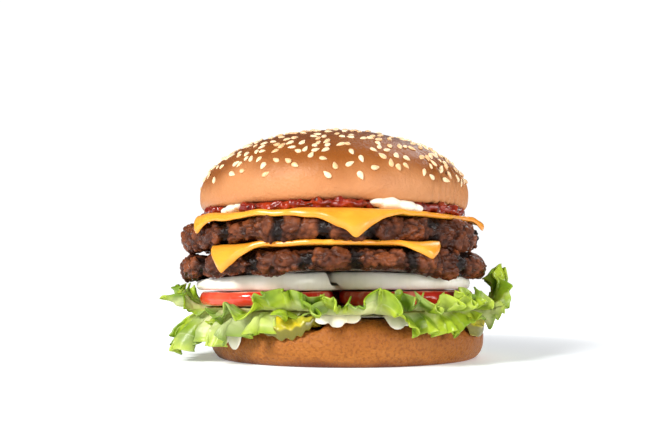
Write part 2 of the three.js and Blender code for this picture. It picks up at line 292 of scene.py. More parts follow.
def disc_profile(t: np.ndarray, face: float) -> tuple[np.ndarray, np.ndarray, np.ndarray]:
    """Splits the way round a disc into its lower face, its rim and its upper face.

    Args:
        t: The way from the bottom pole to the top pole.
        face: The share of it that each face takes.

    Returns:
        The share of the way to the shoulder, 0 to 1; how far out on the rim, 0 to 1; and the
        height, from -1 on the lower face to 1 on the upper.
    """
    across = np.clip(np.minimum(t, 1.0 - t) / face, 0.0, 1.0)
    angle = (np.clip((t - face) / (1.0 - 2.0 * face), 0.0, 1.0) - 0.5) * math.pi
    return across, np.where(across < 1.0, 0.0, np.cos(angle)), np.sin(angle)


def joined(pieces: Sequence[bpy.types.Object], name: str) -> bpy.types.Object:
    """Joins pieces into one, under a name.

    Args:
        pieces: The pieces, of which the first takes in the rest.
        name: The name it gets.

    Returns:
        The joined piece.
    """
    bpy.ops.object.select_all(action="DESELECT")
    for piece in pieces:
        piece.select_set(True)
    bpy.context.view_layer.objects.active = pieces[0]
    bpy.ops.object.join()
    pieces[0].name = pieces[0].data.name = name
    return pieces[0]


def applied(piece: bpy.types.Object, kind: str, **settings: object) -> None:
    """Adds a modifier to a piece and applies it.

    Args:
        piece: The piece.
        kind: The kind of modifier.
        settings: The settings of the modifier.
    """
    bpy.ops.object.select_all(action="DESELECT")
    piece.select_set(True)
    bpy.context.view_layer.objects.active = piece
    modifier = piece.modifiers.new(kind.title(), kind)
    for key, value in settings.items():
        setattr(modifier, key, value)
    bpy.ops.object.modifier_apply(modifier=modifier.name)


def dress(piece: bpy.types.Object, paint: bpy.types.Material, slot: Slot, *nodes: str) -> None:
    """Finishes a piece: its shading, its material and what it rides on, and hides the parts that it
    stands for.

    Args:
        piece: The finished mesh.
        paint: Its material.
        slot: The record's slot for its finish. It is not used.
        nodes: The nodes that it stands for.
    """
    piece.data.materials.clear()
    piece.data.materials.append(paint)
    piece.data.polygons.foreach_set("use_smooth", [True] * len(piece.data.polygons))
    piece.data.update()
    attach(piece, BODY)
    if nodes:
        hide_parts(*nodes)
    LOG.info("%s: %d points", piece.name, len(piece.data.vertices))


# ------------------------------------------------------------------ shader tools


class Paint:
    """Builds the nodes of one material."""

    def __init__(self, name: str) -> None:
        """Starts a material with a Principled shader.

        Args:
            name: The name of the material.
        """
        self.material = bpy.data.materials.new(name)
        self.material.use_nodes = True
        self.tree = self.material.node_tree
        self.shader = self.tree.nodes["Principled BSDF"]
        self.place = self.tree.nodes.new("ShaderNodeTexCoord").outputs["Object"]

    def set(self, **values: object) -> None:
        """Sets the shader's own sockets, named with _ for each space."""
        for key, value in values.items():
            socket = self.shader.inputs[key.replace("_", " ")]
            socket.default_value = (*value, 1.0) if key == "Base_Color" else value

    def node(self, kind: str, links: dict[str | int, object], **settings: object) -> bpy.types.Node:
        """Adds a node.

        Args:
            kind: The node's type.
            links: What each of its inputs is set to, or is linked from.
            settings: The node's own settings.

        Returns:
            The node.
        """
        made = self.tree.nodes.new(kind)
        for key, value in settings.items():
            setattr(made, key, value)
        for key, value in links.items():
            if isinstance(value, bpy.types.NodeSocket):
                self.tree.links.new(value, made.inputs[key])
            else:
                made.inputs[key].default_value = value
        return made

    def marked(self, name: str) -> bpy.types.NodeSocket:
        """Reads a value that was stored on the piece's points."""
        return self.node("ShaderNodeAttribute", {}, attribute_name=name).outputs["Fac"]

    def blotches(
        self, scale: float, low: float, high: float, detail: float = 3.0
    ) -> bpy.types.NodeSocket:
        """Adds soft patches, 0 below the low noise value and 1 above the high one."""
        links = {"Vector": self.place, "Scale": scale, "Detail": detail, "Low": low, "High": high}
        return self.node("ShaderNodeGroup", links, node_tree=blotch_group()).outputs["Mask"]

    def relief(self, coarse: float, fine: float, share: float) -> bpy.types.NodeSocket:
        """Adds the height of a surface with coarse bumps and a share of fine ones."""
        links = {"Vector": self.place, "Coarse": coarse, "Fine": fine, "Share": share}
        return self.node("ShaderNodeGroup", links, node_tree=relief_group()).outputs["Height"]

    def math(self, operation: str, a: object, b: object) -> bpy.types.NodeSocket:
        """Works out a value from two others."""
        return self.node("ShaderNodeMath", {0: a, 1: b}, operation=operation).outputs[0]

    def ramp(self, value: object, low: float, high: float) -> bpy.types.NodeSocket:
        """Turns a value between low and high into a smooth 0 to 1."""
        links = {"Value": value, "From Min": low, "From Max": high}
        return self.node("ShaderNodeMapRange", links, interpolation_type="SMOOTHSTEP").outputs[0]

    def mix(self, mask: object, a: object, b: object) -> bpy.types.NodeSocket:
        """Mixes two colours, each a colour or a socket.

        Args:
            mask: How much of the second colour there is, from 0 to 1.
            a: The first colour.
            b: The second colour.

        Returns:
            The mixed colour.
        """
        first, second = (c if isinstance(c, bpy.types.NodeSocket) else (*c, 1.0) for c in (a, b))
        links = {0: mask, 6: first, 7: second}
        return self.node("ShaderNodeMix", links, data_type="RGBA").outputs[2]

    def height(self) -> bpy.types.NodeSocket:
        """Gives the height above the table, in metres."""
        return self.node("ShaderNodeSeparateXYZ", {0: self.place}).outputs["Z"]

    def colour(self, socket: bpy.types.NodeSocket) -> None:
        """Links the base colour."""
        self.tree.links.new(socket, self.shader.inputs["Base Color"])

    def roughness(self, socket: bpy.types.NodeSocket) -> None:
        """Links the roughness."""
        self.tree.links.new(socket, self.shader.inputs["Roughness"])

    def bump(self, height: bpy.types.NodeSocket, depth: float) -> None:
        """Roughens the surface by a height of depth millimetres."""
        made = self.node("ShaderNodeBump", {"Height": height, "Distance": depth * MM})
        self.tree.links.new(made.outputs[0], self.shader.inputs["Normal"])


def new_group(name: str, inputs: Sequence[str], output: str) -> bpy.types.NodeTree:
    """Starts a shader node group.

    Args:
        name: Its name.
        inputs: Its inputs' names, of which Vector is a vector and the others are numbers.
        output: Its output's name.

    Returns:
        The group, with its input and output nodes.
    """
    group = bpy.data.node_groups.new(name, "ShaderNodeTree")
    for key in inputs:
        kind = "NodeSocketVector" if key == "Vector" else "NodeSocketFloat"
        group.interface.new_socket(name=key, in_out="INPUT", socket_type=kind)
    group.interface.new_socket(name=output, in_out="OUTPUT", socket_type="NodeSocketFloat")
    group.nodes.new("NodeGroupInput")
    group.nodes.new("NodeGroupOutput")
    return group


def blotch_group() -> bpy.types.NodeTree:
    """Gives the group that makes soft uneven patches, and makes it once.

    Returns:
        The group.
    """
    made = bpy.data.node_groups.get("Blotches")
    if made:
        return made
    group = new_group("Blotches", ("Vector", "Scale", "Detail", "Low", "High"), "Mask")
    given, result = group.nodes["Group Input"], group.nodes["Group Output"]
    cloud = group.nodes.new("ShaderNodeTexNoise")
    step = group.nodes.new("ShaderNodeMapRange")
    step.interpolation_type = "SMOOTHSTEP"
    for source, target in (
        (given.outputs["Vector"], cloud.inputs["Vector"]),
        (given.outputs["Scale"], cloud.inputs["Scale"]),
        (given.outputs["Detail"], cloud.inputs["Detail"]),
        (cloud.outputs["Fac"], step.inputs["Value"]),
        (given.outputs["Low"], step.inputs["From Min"]),
        (given.outputs["High"], step.inputs["From Max"]),
        (step.outputs[0], result.inputs["Mask"]),
    ):
        group.links.new(source, target)
    return group


def relief_group() -> bpy.types.NodeTree:
    """Gives the group that makes coarse and fine bumps, and makes it once.

    Returns:
        The group.
    """
    made = bpy.data.node_groups.get("Relief")
    if made:
        return made
    group = new_group("Relief", ("Vector", "Coarse", "Fine", "Share"), "Height")
    given, result = group.nodes["Group Input"], group.nodes["Group Output"]
    clouds = []
    for key in ("Coarse", "Fine"):
        cloud = group.nodes.new("ShaderNodeTexNoise")
        cloud.inputs["Detail"].default_value = 4.0
        group.links.new(given.outputs["Vector"], cloud.inputs["Vector"])
        group.links.new(given.outputs[key], cloud.inputs["Scale"])
        clouds.append(cloud.outputs["Fac"])
    blend = group.nodes.new("ShaderNodeMix")
    group.links.new(given.outputs["Share"], blend.inputs[0])
    group.links.new(clouds[0], blend.inputs[2])
    group.links.new(clouds[1], blend.inputs[3])
    group.links.new(blend.outputs[0], result.inputs["Height"])
    return group


# ------------------------------------------------------------------ finishes


@dataclass(frozen=True)
class CrustFinish:
    """Baked crust: pale, golden, then dark from one height to the next, with fine pores."""

    name: str
    pale: Colour = (0.48, 0.205, 0.08)
    golden: Colour = (0.235, 0.067, 0.01)
    dark: Colour = (0.105, 0.024, 0.004)
    heights: tuple[float, float, float] = (62.0, 76.0, 92.0)
    drift: float = 9.0
    pores: float = 0.5
    pitted: float = 0.0

    def material(self) -> bpy.types.Material:
        """Builds the crust's material.

        Returns:
            The material.
        """
        paint = Paint(self.name)
        cloud = paint.math("SUBTRACT", paint.blotches(30.0, 0.3, 0.7), 0.5)
        level = paint.math("ADD", paint.height(), paint.math("MULTIPLY", cloud, self.drift * MM))
        low, middle, high = (h * MM for h in self.heights)
        body = paint.mix(paint.ramp(level, low, middle), self.pale, self.golden)
        body = paint.mix(paint.ramp(level, middle, high), body, self.dark)
        if self.pitted:
            pits = paint.math("MULTIPLY", paint.blotches(900.0, 0.5, 0.66, 1.0), self.pitted)
            body = paint.mix(pits, body, self.pale)
        paint.colour(body)
        paint.bump(paint.relief(300.0, 1000.0, 0.5), self.pores)
        paint.set(Roughness=0.42, Subsurface_Weight=0.06, Subsurface_Radius=(0.004, 0.002, 0.001))
        paint.set(Specular_IOR_Level=0.18)
        return paint.material


@dataclass(frozen=True)
class SeedFinish:
    """Hulled sesame: cream, some toasted."""

    cream: Colour = (0.84, 0.64, 0.4)
    toasted: Colour = (0.7, 0.42, 0.2)

    def material(self) -> bpy.types.Material:
        """Builds the seeds' material.

        Returns:
            The material.
        """
        paint = Paint("sesame")
        paint.colour(paint.mix(paint.blotches(110.0, 0.42, 0.66, 1.0), self.cream, self.toasted))
        paint.bump(paint.relief(900.0, 2600.0, 0.4), 0.1)
        paint.set(Roughness=0.38, Subsurface_Weight=0.1, Subsurface_Radius=(0.002, 0.001, 0.0005))
        return paint.material


@dataclass(frozen=True)
class BeefFinish:
    """Grilled ground beef, moist, with seared bands and painted shade in its hollows. It reads the
    hollows and the sear from the piece.
    """

    light: Colour = (0.25, 0.068, 0.022)
    brown: Colour = (0.1, 0.024, 0.007)
    # the colour of the painted shade in the hollows between the lumps
    crevice: Colour = (0.03, 0.008, 0.004)
    char: Colour = (0.009, 0.004, 0.003)
    wettest: float = 0.1
    driest: float = 0.55

    def material(self) -> bpy.types.Material:
        """Builds the beef's material.

        Returns:
            The material.
        """
        paint = Paint("beef")
        hollow, sear = paint.marked("hollow"), paint.marked("sear")
        body = paint.mix(paint.blotches(150.0, 0.38, 0.64), self.brown, self.light)
        shade = paint.math("MULTIPLY", paint.blotches(60.0, 0.5, 0.68), 0.5)
        body = paint.mix(shade, body, self.brown)
        # painted shade: the hollows between the lumps are darkened
        body = paint.mix(paint.math("MULTIPLY", hollow, 0.85), body, self.crevice)
        paint.colour(paint.mix(sear, body, self.char))
        wet = paint.ramp(paint.blotches(230.0, 0.4, 0.62), 0.0, 1.0)
        gloss = {"Value": wet, "To Min": self.wettest, "To Max": self.driest}
        paint.roughness(paint.node("ShaderNodeMapRange", gloss).outputs[0])
        paint.bump(paint.relief(700.0, 2200.0, 0.45), 0.5)
        paint.set(Specular_IOR_Level=0.2)
        return paint.material


@dataclass(frozen=True)
class CheeseFinish:
    """Melted processed cheese."""

    body: Colour = (0.8, 0.34, 0.028)
    deep: Colour = (0.74, 0.26, 0.015)

    def material(self) -> bpy.types.Material:
        """Builds the cheese's material.

        Returns:
            The material.
        """
        paint = Paint("cheese")
        paint.colour(paint.mix(paint.blotches(70.0, 0.35, 0.7), self.body, self.deep))
        paint.bump(paint.relief(160.0, 900.0, 0.2), 0.12)
        paint.set(Roughness=0.28, Subsurface_Weight=0.25, Subsurface_Radius=(0.004, 0.0022, 0.0004))
        return paint.material


@dataclass(frozen=True)
class KetchupFinish:
    """Wet ketchup with bits of tomato in it."""

    body: Colour = (0.17, 0.01, 0.004)
    bright: Colour = (0.34, 0.032, 0.006)
    dark: Colour = (0.04, 0.004, 0.002)

    def material(self) -> bpy.types.Material:
        """Builds the ketchup's material.

        Returns:
            The material.
        """
        paint = Paint("ketchup")
        body = paint.mix(paint.blotches(190.0, 0.42, 0.66), self.body, self.bright)
        paint.colour(paint.mix(paint.blotches(320.0, 0.56, 0.7), body, self.dark))
        paint.bump(paint.relief(420.0, 1500.0, 0.4), 0.4)
        paint.set(Roughness=0.16, Subsurface_Weight=0.1, Subsurface_Radius=(0.003, 0.0004, 0.0002))
        return paint.material


@dataclass(frozen=True)
class MayonnaiseFinish:
    """Glossy mayonnaise."""

    body: Colour = (0.86, 0.81, 0.69)
    shade: Colour = (0.8, 0.73, 0.56)

    def material(self) -> bpy.types.Material:
        """Builds the mayonnaise's material.

        Returns:
            The material.
        """
        paint = Paint("mayonnaise")
        paint.colour(paint.mix(paint.blotches(120.0, 0.4, 0.75), self.body, self.shade))
        paint.bump(paint.relief(240.0, 900.0, 0.2), 0.1)
        paint.set(Roughness=0.25, Subsurface_Weight=0.3, Subsurface_Radius=(0.003, 0.0027, 0.002))
        return paint.material


@dataclass(frozen=True)
class OnionFinish:
    """Raw white onion. It reads ring from the piece, which is 1 between two layers."""

    flesh: Colour = (0.95, 0.92, 0.84)
    deep: Colour = (0.82, 0.78, 0.64)
    skin: Colour = (0.6, 0.58, 0.42)

    def material(self) -> bpy.types.Material:
        """Builds the onion's material.

        Returns:
            The material.
        """
        paint = Paint("onion")
        body = paint.mix(paint.blotches(55.0, 0.35, 0.72), self.flesh, self.deep)
        paint.colour(paint.mix(paint.math("MULTIPLY", paint.marked("ring"), 0.6), body, self.skin))
        paint.bump(paint.relief(300.0, 1200.0, 0.3), 0.15)
        paint.set(Roughness=0.3, Subsurface_Weight=0.3, Subsurface_Radius=(0.005, 0.005, 0.004))
        return paint.material


@dataclass(frozen=True)
class TomatoFinish:
    """Ripe tomato, with painted sheen in pale streaks on its skin. It reads skin from the piece, 1 on
    the rim and 0 on the cut faces.
    """

    skin: Colour = (0.56, 0.022, 0.008)
    flesh: Colour = (0.68, 0.1, 0.045)
    # pale flesh; the same colour also paints the sheen streaks on the skin
    pale: Colour = (0.8, 0.42, 0.28)

    def material(self) -> bpy.types.Material:
        """Builds the tomato's material.

        Returns:
            The material.
        """
        paint = Paint("tomato")
        flesh = paint.mix(paint.blotches(90.0, 0.5, 0.66), self.flesh, self.pale)
        skin = paint.mix(paint.blotches(60.0, 0.4, 0.7), self.skin, self.flesh)
        # painted sheen: pale streaks on the skin stand in for the gloss of wet skin
        streak = paint.math("MULTIPLY", paint.blotches(140.0, 0.56, 0.7), 0.5)
        skin = paint.mix(streak, skin, self.pale)
        paint.colour(paint.mix(paint.marked("skin"), flesh, skin))
        paint.bump(paint.relief(260.0, 1300.0, 0.3), 0.12)
        paint.set(Roughness=0.14, Subsurface_Weight=0.2, Subsurface_Radius=(0.005, 0.001, 0.0005))
        return paint.material


@dataclass(frozen=True)
class LettuceFinish:
    """Leaf lettuce. It reads blade from the piece, 0 on a pale rib and 1 on the green blade."""

    rib: Colour = (0.84, 0.86, 0.5)
    fresh: Colour = (0.58, 0.72, 0.05)
    deep: Colour = (0.24, 0.4, 0.016)
    clear: float = 0.38

    def material(self) -> bpy.types.Material:
        """Builds the lettuce's material: part gloss, part light that comes through.

        Returns:
            The material.
        """
        paint = Paint("lettuce")
        blade = paint.marked("blade")
        green = paint.mix(paint.blotches(75.0, 0.38, 0.62), self.fresh, self.deep)
        tone = paint.mix(blade, self.rib, green)
        paint.colour(tone)
        paint.bump(paint.relief(330.0, 900.0, 0.35), 0.35)
        paint.set(Roughness=0.32, Specular_IOR_Level=0.5)
        through = paint.node("ShaderNodeBsdfTranslucent", {"Color": tone})
        links = {0: self.clear, 1: paint.shader.outputs[0], 2: through.outputs[0]}
        sheet = paint.node("ShaderNodeMixShader", links)
        paint.tree.links.new(sheet.outputs[0], paint.tree.nodes["Material Output"].inputs[0])
        return paint.material


@dataclass(frozen=True)
class PickleFinish:
    """Pickled cucumber. It reads skin from the piece, 1 on the rim and 0 on the cut faces."""

    flesh: Colour = (0.4, 0.36, 0.03)
    bright: Colour = (0.66, 0.5, 0.015)
    skin: Colour = (0.16, 0.14, 0.01)

    def material(self) -> bpy.types.Material:
        """Builds the pickle's material.

        Returns:
            The material.
        """
        paint = Paint("pickle")
        flesh = paint.mix(paint.blotches(110.0, 0.4, 0.66), self.flesh, self.bright)
        paint.colour(paint.mix(paint.marked("skin"), flesh, self.skin))
        paint.bump(paint.relief(300.0, 1200.0, 0.4), 0.2)
        paint.set(Roughness=0.18, Subsurface_Weight=0.25, Subsurface_Radius=(0.003, 0.003, 0.0006))
        return paint.material


# ------------------------------------------------------------------ the stack


@dataclass(frozen=True)
class Sag:
    """How the stack sags to the left and right over the onions."""

    drop: float = 2.9
    span: float = 57.0

    def at(self, x: np.ndarray) -> np.ndarray:
        """Gives the sag at x, which is 0 in the middle."""
        return -self.drop * (x / self.span) ** 2


SAG = Sag()


@dataclass
class Round:
    """A round layer that limp things lie over."""

    x: float
    radius: float
    edge: float
    bottom: float
    top: float
    sag_below: float = 0.0
    sag_above: float = 0.0
    turn: float = 0.0
    lobed: bool = False

    def reach(self, bearing: np.ndarray) -> np.ndarray:
        """Gives its outline's radius at a bearing.

        Args:
            bearing: Each point's bearing, in degrees.

        Returns:
            The radii, in millimetres.
        """
        if not self.lobed:
            return np.full_like(np.asarray(bearing, dtype=float), self.radius)
        a = np.radians(bearing + self.turn)
        return self.radius * (1 + 0.012 * np.sin(3 * a + 0.6) + 0.008 * np.sin(5 * a + 2))

    def low(self, x: np.ndarray) -> np.ndarray:
        """Gives the height of its lower face."""
        return self.bottom + self.sag_below * SAG.at(x)

    def high(self, x: np.ndarray) -> np.ndarray:
        """Gives the height of its upper face."""
        return self.top + self.sag_above * SAG.at(x)

    def drape(
        self, bearing: np.ndarray, along: np.ndarray, rise: np.ndarray, waist: float = 0.5
    ) -> np.ndarray:
        """Lays a limp thing over it: flat on top, round its rim, then straight down.

        Args:
            bearing: Where round the layer.
            along: How far from its middle, measured along its skin.
            rise: How far above its skin.
            waist: How high its widest place is, as a share of its height.

        Returns:
            The place of each point.
        """
        shoulder = self.reach(bearing) - self.edge
        sx, sy = on_plan(bearing, np.minimum(along, shoulder), self.x)
        top = self.high(sx)
        half = (top - self.low(sx)) * (1.0 - waist)
        quarter = ((self.edge + half) / 2 + rise) * (math.pi / 2)
        past = np.maximum(along - shoulder, 0.0)
        t = np.minimum(past / quarter, 1.0) * (math.pi / 2)
        rx, ry = on_plan(bearing, shoulder + (self.edge + rise) * np.sin(t), self.x)
        rz = top - half + (half + rise) * np.cos(t) - np.maximum(past - quarter, 0.0)
        flat = (along <= shoulder)[:, None]
        level = np.stack([sx, sy, top + rise], axis=1)
        return np.where(flat, level, np.stack([rx, ry, rz], axis=1))


HEEL = Round(x=0.0, radius=54.9, edge=7.6, bottom=0.0, top=16.8)
HEEL_WAIST = 8.6  # the height at which the heel is widest
LOWER_PATTY = Round(-4.5, 60.3, 4.4, 33.8, 42.1, 1.0, 0.75, 0.0, True)
UPPER_PATTY = Round(-6.3, 59.9, 4.4, 44.5, 52.9, 0.75, 0.35, 137.0, True)


# ------------------------------------------------------------------ buns


@dataclass
class TopBun:
    """The domed half of the bun, with its seeds."""

    x: float = -4.8
    radius: float = 54.3
    bottom: float = 58.8
    waist: float = 65.1
    top: float = 90.2
    lip: float = 3.4
    folds: tuple[tuple[float, float, float], ...] = (
        (43, 0.6, 1.1), (48, 1.1, 1.2), (52, 1.4, 1.0), (56, 1.2, 1.2), (60, 2.0, 1.2),
        (64, 1.4, 1.1), (68, 1.7, 1.3), (73, 1.2, 1.1), (78, 1.5, 1.4), (85, 0.9, 1.3),
    )
    seeds: int = 400
    seed_length: float = 3.4
    seed_room: float = 0.8
    segments: int = 360
    rings: int = 220

    def profile(self) -> np.ndarray:
        """Gives its outline, from the middle of its underside to its top.

        Returns:
            Rows of a radius and a height, in millimetres.
        """
        turn = np.radians(np.linspace(5.0, 90.0, 18))
        lip_r = self.radius - self.lip + self.lip * np.sin(turn) ** 0.8
        lip_z = lerp(self.bottom, self.waist, 1 - np.cos(turn) ** 0.8)
        rise = np.radians(np.linspace(2.0, 90.0, 60))
        dome_r = self.radius * np.cos(rise)
        dome_z = self.waist + (self.top - self.waist) * np.sin(rise)
        radii = np.concatenate([[0.0, self.radius - self.lip], lip_r, dome_r])
        heights = np.concatenate([[self.bottom, self.bottom], lip_z, dome_z])
        return np.stack([radii, heights], axis=1)

    def creases(self, bearing: np.ndarray, z: np.ndarray) -> np.ndarray:
        """Gives the depth of the upright wrinkles low on the right side.

        Args:
            bearing: Each point's bearing, in degrees.
            z: Each point's height, in millimetres.

        Returns:
            The depths, in millimetres.
        """
        wander = 0.9 * np.sin(z / 3.1) + 0.05 * (z - 65.0)
        folds = sum(
            depth * np.exp(-(((turn_to(bearing, middle) + wander) / width) ** 2))
            for middle, depth, width in self.folds
        )
        return folds * smooth((84.0 - z) / 12.0) * smooth((z - 56.0) / 3.0)

    def build(self) -> bpy.types.Object:
        """Builds the crust.

        Returns:
            The piece.
        """
        piece, bearing, t = ball("top_bun_crust", self.segments, self.rings)
        r, z = profiled(self.profile(), t)
        x, y = on_plan(bearing, r, self.x)
        sag = 0.4 * SAG.at(x) * (1 - smooth((z - self.bottom) / (self.top - self.bottom)))
        set_points(piece, np.stack([x, y, z + sag], axis=1))
        at = points_of(piece)
        outside = smooth((z - self.bottom - 0.2) / 2.0)
        lumps = 0.55 * fractal(at, 24.0, 2, 5) + 0.1 * fractal(at, 4.0, 2, 6)
        swell(piece, outside * (lumps - 0.25) - self.creases(bearing, z))
        dress(piece, CrustFinish("bun_crust").material(), Slot.BUN, "top_bun")
        return piece

    def sow(self, crust: bpy.types.Object) -> bpy.types.Object:
        """Scatters the seeds over the crust, thickly on top and thinly lower down.

        Args:
            crust: The crust that they lie on.

        Returns:
            The seeds, joined into one piece.
        """
        draw = np.random.default_rng(11)
        skin = BVHTree.FromPolygons(
            [v.co.copy() for v in crust.data.vertices], [p.vertices[:] for p in crust.data.polygons]
        )
        places: list[Vector] = []
        seeds: list[bpy.types.Object] = []
        pattern = self.seed()
        while len(places) < self.seeds:
            rise = math.radians(draw.uniform(4.0, 90.0))
            keep = math.cos(rise) * (0.22 + 0.78 * float(smooth((math.sin(rise) - 0.1) / 0.42)))
            x, y = on_plan(draw.uniform(-180.0, 180.0), self.radius * math.cos(rise), self.x)
            z = self.waist + (self.top - self.waist) * math.sin(rise)
            aim = Vector((float(x), float(y), z)) * MM
            if draw.random() > keep:
                continue
            hit, normal, _, _ = skin.find_nearest(aim)
            if any((hit - other).length < self.seed_length * self.seed_room * MM for other in places):
                continue
            places.append(hit)
            seeds.append(self.lay(pattern, hit, normal, draw))
        bpy.data.objects.remove(pattern)
        piece = joined(seeds, "sesame_seeds")
        dress(piece, SeedFinish().material(), Slot.SESAME)
        return piece

    def seed(self) -> bpy.types.Object:
        """Shapes one seed: a drop that is round at one end and pointed at the other.

        Returns:
            The seed.
        """
        piece, _, _ = ball("seed", 9, 7)
        at = points_of(piece) * MM
        long, wide, thick = self.seed_length / 2, self.seed_length * 0.3, self.seed_length * 0.17
        taper = 1.0 - 0.42 * at[:, 2] - 0.16 * at[:, 2] ** 2
        shaped = np.stack([at[:, 2] * long, at[:, 0] * wide * taper, at[:, 1] * thick * taper], axis=1)
        set_points(piece, shaped)
        return piece

    def lay(
        self, pattern: bpy.types.Object, at: Vector, normal: Vector, draw: np.random.Generator
    ) -> bpy.types.Object:
        """Copies the seed to a place on the crust, lying any way round and slightly tipped.

        Args:
            pattern: The seed to copy.
            at: The place on the crust, in metres.
            normal: The outward direction there.
            draw: What the chances are drawn from.

        Returns:
            The copy.
        """
        piece = pattern.copy()
        piece.data = pattern.data.copy()
        bpy.context.collection.objects.link(piece)
        spin = Matrix.Rotation(draw.uniform(0, math.tau), 4, "Z")
        tip = Matrix.Rotation(draw.normal(0, 0.14), 4, "X")
        tip = tip @ Matrix.Rotation(draw.normal(0, 0.1), 4, "Y")
        scale = [draw.uniform(*limits) for limits in ((0.86, 1.1), (0.85, 1.12), (0.8, 1.1))]
        size = Matrix.Diagonal((*scale, 1.0))
        lean = normal.to_track_quat("Z", "Y").to_matrix().to_4x4()
        stand = Matrix.Translation(at + normal * (0.12 * MM)) @ lean
        piece.data.transform(stand @ spin @ tip @ size)
        return piece


@dataclass
class HeelBun:
    """The flat half of the bun, dented by the pickles."""

    radius: float = HEEL.radius
    edge: float = HEEL.edge
    height: float = HEEL.top
    waist: float = HEEL_WAIST
    foot: float = 50.0
    segments: int = 360
    rings: int = 150

    def profile(self) -> np.ndarray:
        """Gives its outline, from the middle of its underside to the middle of its top.

        Returns:
            Rows of a radius and a height, in millimetres.
        """
        turn = np.radians(np.linspace(0.0, 90.0, 24))
        low_r = lerp(self.foot, self.radius, np.sin(turn))
        low_z = self.waist * (1 - np.cos(turn))
        high_r = self.radius - self.edge * (1 - np.cos(turn))
        high_z = self.waist + (self.height - self.waist) * np.sin(turn)
        radii = np.concatenate([[0.0], low_r, high_r[1:], [0.0]])
        heights = np.concatenate([[0.0], low_z, high_z[1:], [self.height]])
        return np.stack([radii, heights], axis=1)

    def build(self, pickles: Sequence["Pickle"]) -> bpy.types.Object:
        """Builds the crust, pressed in where each pickle lies.

        Args:
            pickles: The slices that press into it.

        Returns:
            The piece.
        """
        piece, bearing, t = ball("heel_bun_crust", self.segments, self.rings)
        r, z = profiled(self.profile(), t)
        x, y = on_plan(bearing, r)
        at = np.stack([x, y, z], axis=1)
        set_points(piece, at)
        outside = smooth(z / 1.2) * smooth((r - 30.0) / 10.0)
        pits = nuggets(at, 1.6, 3)[0]
        grain = 0.3 * fractal(at, 14.0, 2, 21) + 0.12 * fractal(at, 2.6, 2, 22) - 0.2
        swell(piece, outside * (grain - 0.22 * smooth((0.5 - pits) / 0.4)))
        at = points_of(piece)
        top = smooth((z - self.waist) / 3.0)
        for pickle in pickles:
            at -= normals_of(piece) * (top * pickle.dent(at))[:, None]
        set_points(piece, at)
        finish = CrustFinish(
            "heel_crust",
            pale=(0.15, 0.036, 0.008),
            golden=(0.37, 0.125, 0.022),
            dark=(0.28, 0.086, 0.014),
            heights=(-1.5, 2.6, 16.0),
            drift=4.0,
            pores=1.2,
            pitted=0.42,
        )
        dress(piece, finish.material(), Slot.BUN, "heel_bun")
        return piece


# ------------------------------------------------------------------ beef


@dataclass
class Patty:
    """A grilled patty of ground beef, lumpy, with seared bands where it lay on the bars.

    bars are the bands' places from left to right. hangs are where its rim hangs low, each a
    bearing, a width in degrees and a drop.
    """

    node: str
    form: Round
    bars: tuple[float, ...]
    hangs: tuple[tuple[float, float, float], ...]
    seed: int
    groove: float = 1.5
    chunk: float = 6.5
    crumb: float = 2.3
    grit: float = 1.05
    segments: int = 620
    rings: int = 130
    face: float = 0.27

    def build(self, paint: bpy.types.Material) -> bpy.types.Object:
        """Builds the patty.

        Args:
            paint: The material that it gets.

        Returns:
            The piece.
        """
        piece, bearing, t = ball(self.node + "_beef", self.segments, self.rings)
        across, out, level = disc_profile(t, self.face)
        shoulder = self.form.reach(bearing) - self.form.edge
        r = np.where(across < 1.0, across**0.6 * shoulder, shoulder + out * self.form.edge)
        x, y = on_plan(bearing, r, self.form.x)
        z = lerp(self.form.low(x), self.form.high(x), (level + 1) / 2)
        rim = smooth((r - shoulder + 12.0) / 11.0)
        drop = sum(near(bearing, b, width) * fall for b, width, fall in self.hangs)
        z -= drop * rim * (1 - level) / 2
        set_points(piece, np.stack([x, y, z], axis=1))
        at = points_of(piece)
        seed = self.seed
        sear = self.sear(at)
        groove = self.groove * sear * smooth((r - shoulder + 3.0) / 4.0)
        lobes = 1.7 * fractal(at * (1.0, 1.0, 0.45), 13.0, 2, seed + 5) + 0.15
        swell(piece, rim * (lobes - groove))
        at = points_of(piece)
        warped = at + 1.5 * np.stack([noise(at, 4.5, seed + k) for k in range(3)], axis=1)
        first, second = nuggets(warped * (1.0, 1.0, 0.8), self.chunk, seed + 9)
        chunk = smooth((second - first) / 0.3)
        first, second = nuggets(warped, self.crumb, seed + 12)
        crumb = smooth((second - first) / 0.55)
        swell(piece, rim * (-0.85 * (1 - chunk) - 0.5 * (1 - crumb) + 0.3))
        grit = nuggets(points_of(piece), self.grit, seed + 15)[0]
        swell(piece, rim * (0.2 * fractal(at, 1.6, 2, seed + 20) + 0.16 * smooth((0.6 - grit) / 0.5)))
        # how deep each point lies between the lumps, which the beef material darkens as painted shade
        mark(piece, "hollow", np.clip((1 - chunk) * 0.7 + (1 - crumb) * 0.45, 0, 1))
        mark(piece, "sear", sear)
        dress(piece, paint, Slot.BEEF, self.node)
        return piece

    def sear(self, at: np.ndarray) -> np.ndarray:
        """Gives how seared each point is, in bands that run from front to back.

        Args:
            at: The points, one to a row.

        Returns:
            A value from 0 to 1 for each point.
        """
        ragged = 1.8 * noise(at, 7.0, self.seed + 40)
        ragged += 0.8 * noise(at, 2.0, self.seed + 41)
        band = sum(np.exp(-(((at[:, 0] + ragged - bar) / 2.9) ** 2)) for bar in self.bars)
        patchy = smooth((noise(at, 6.0, self.seed + 42) + 1.1) / 0.8)
        spots = smooth((noise(at, 3.4, self.seed + 43) - 0.55) / 0.25) * 0.5
        return np.clip(smooth((band - 0.3) / 0.5) * patchy + spots, 0, 1)


# ------------------------------------------------------------------ cheese


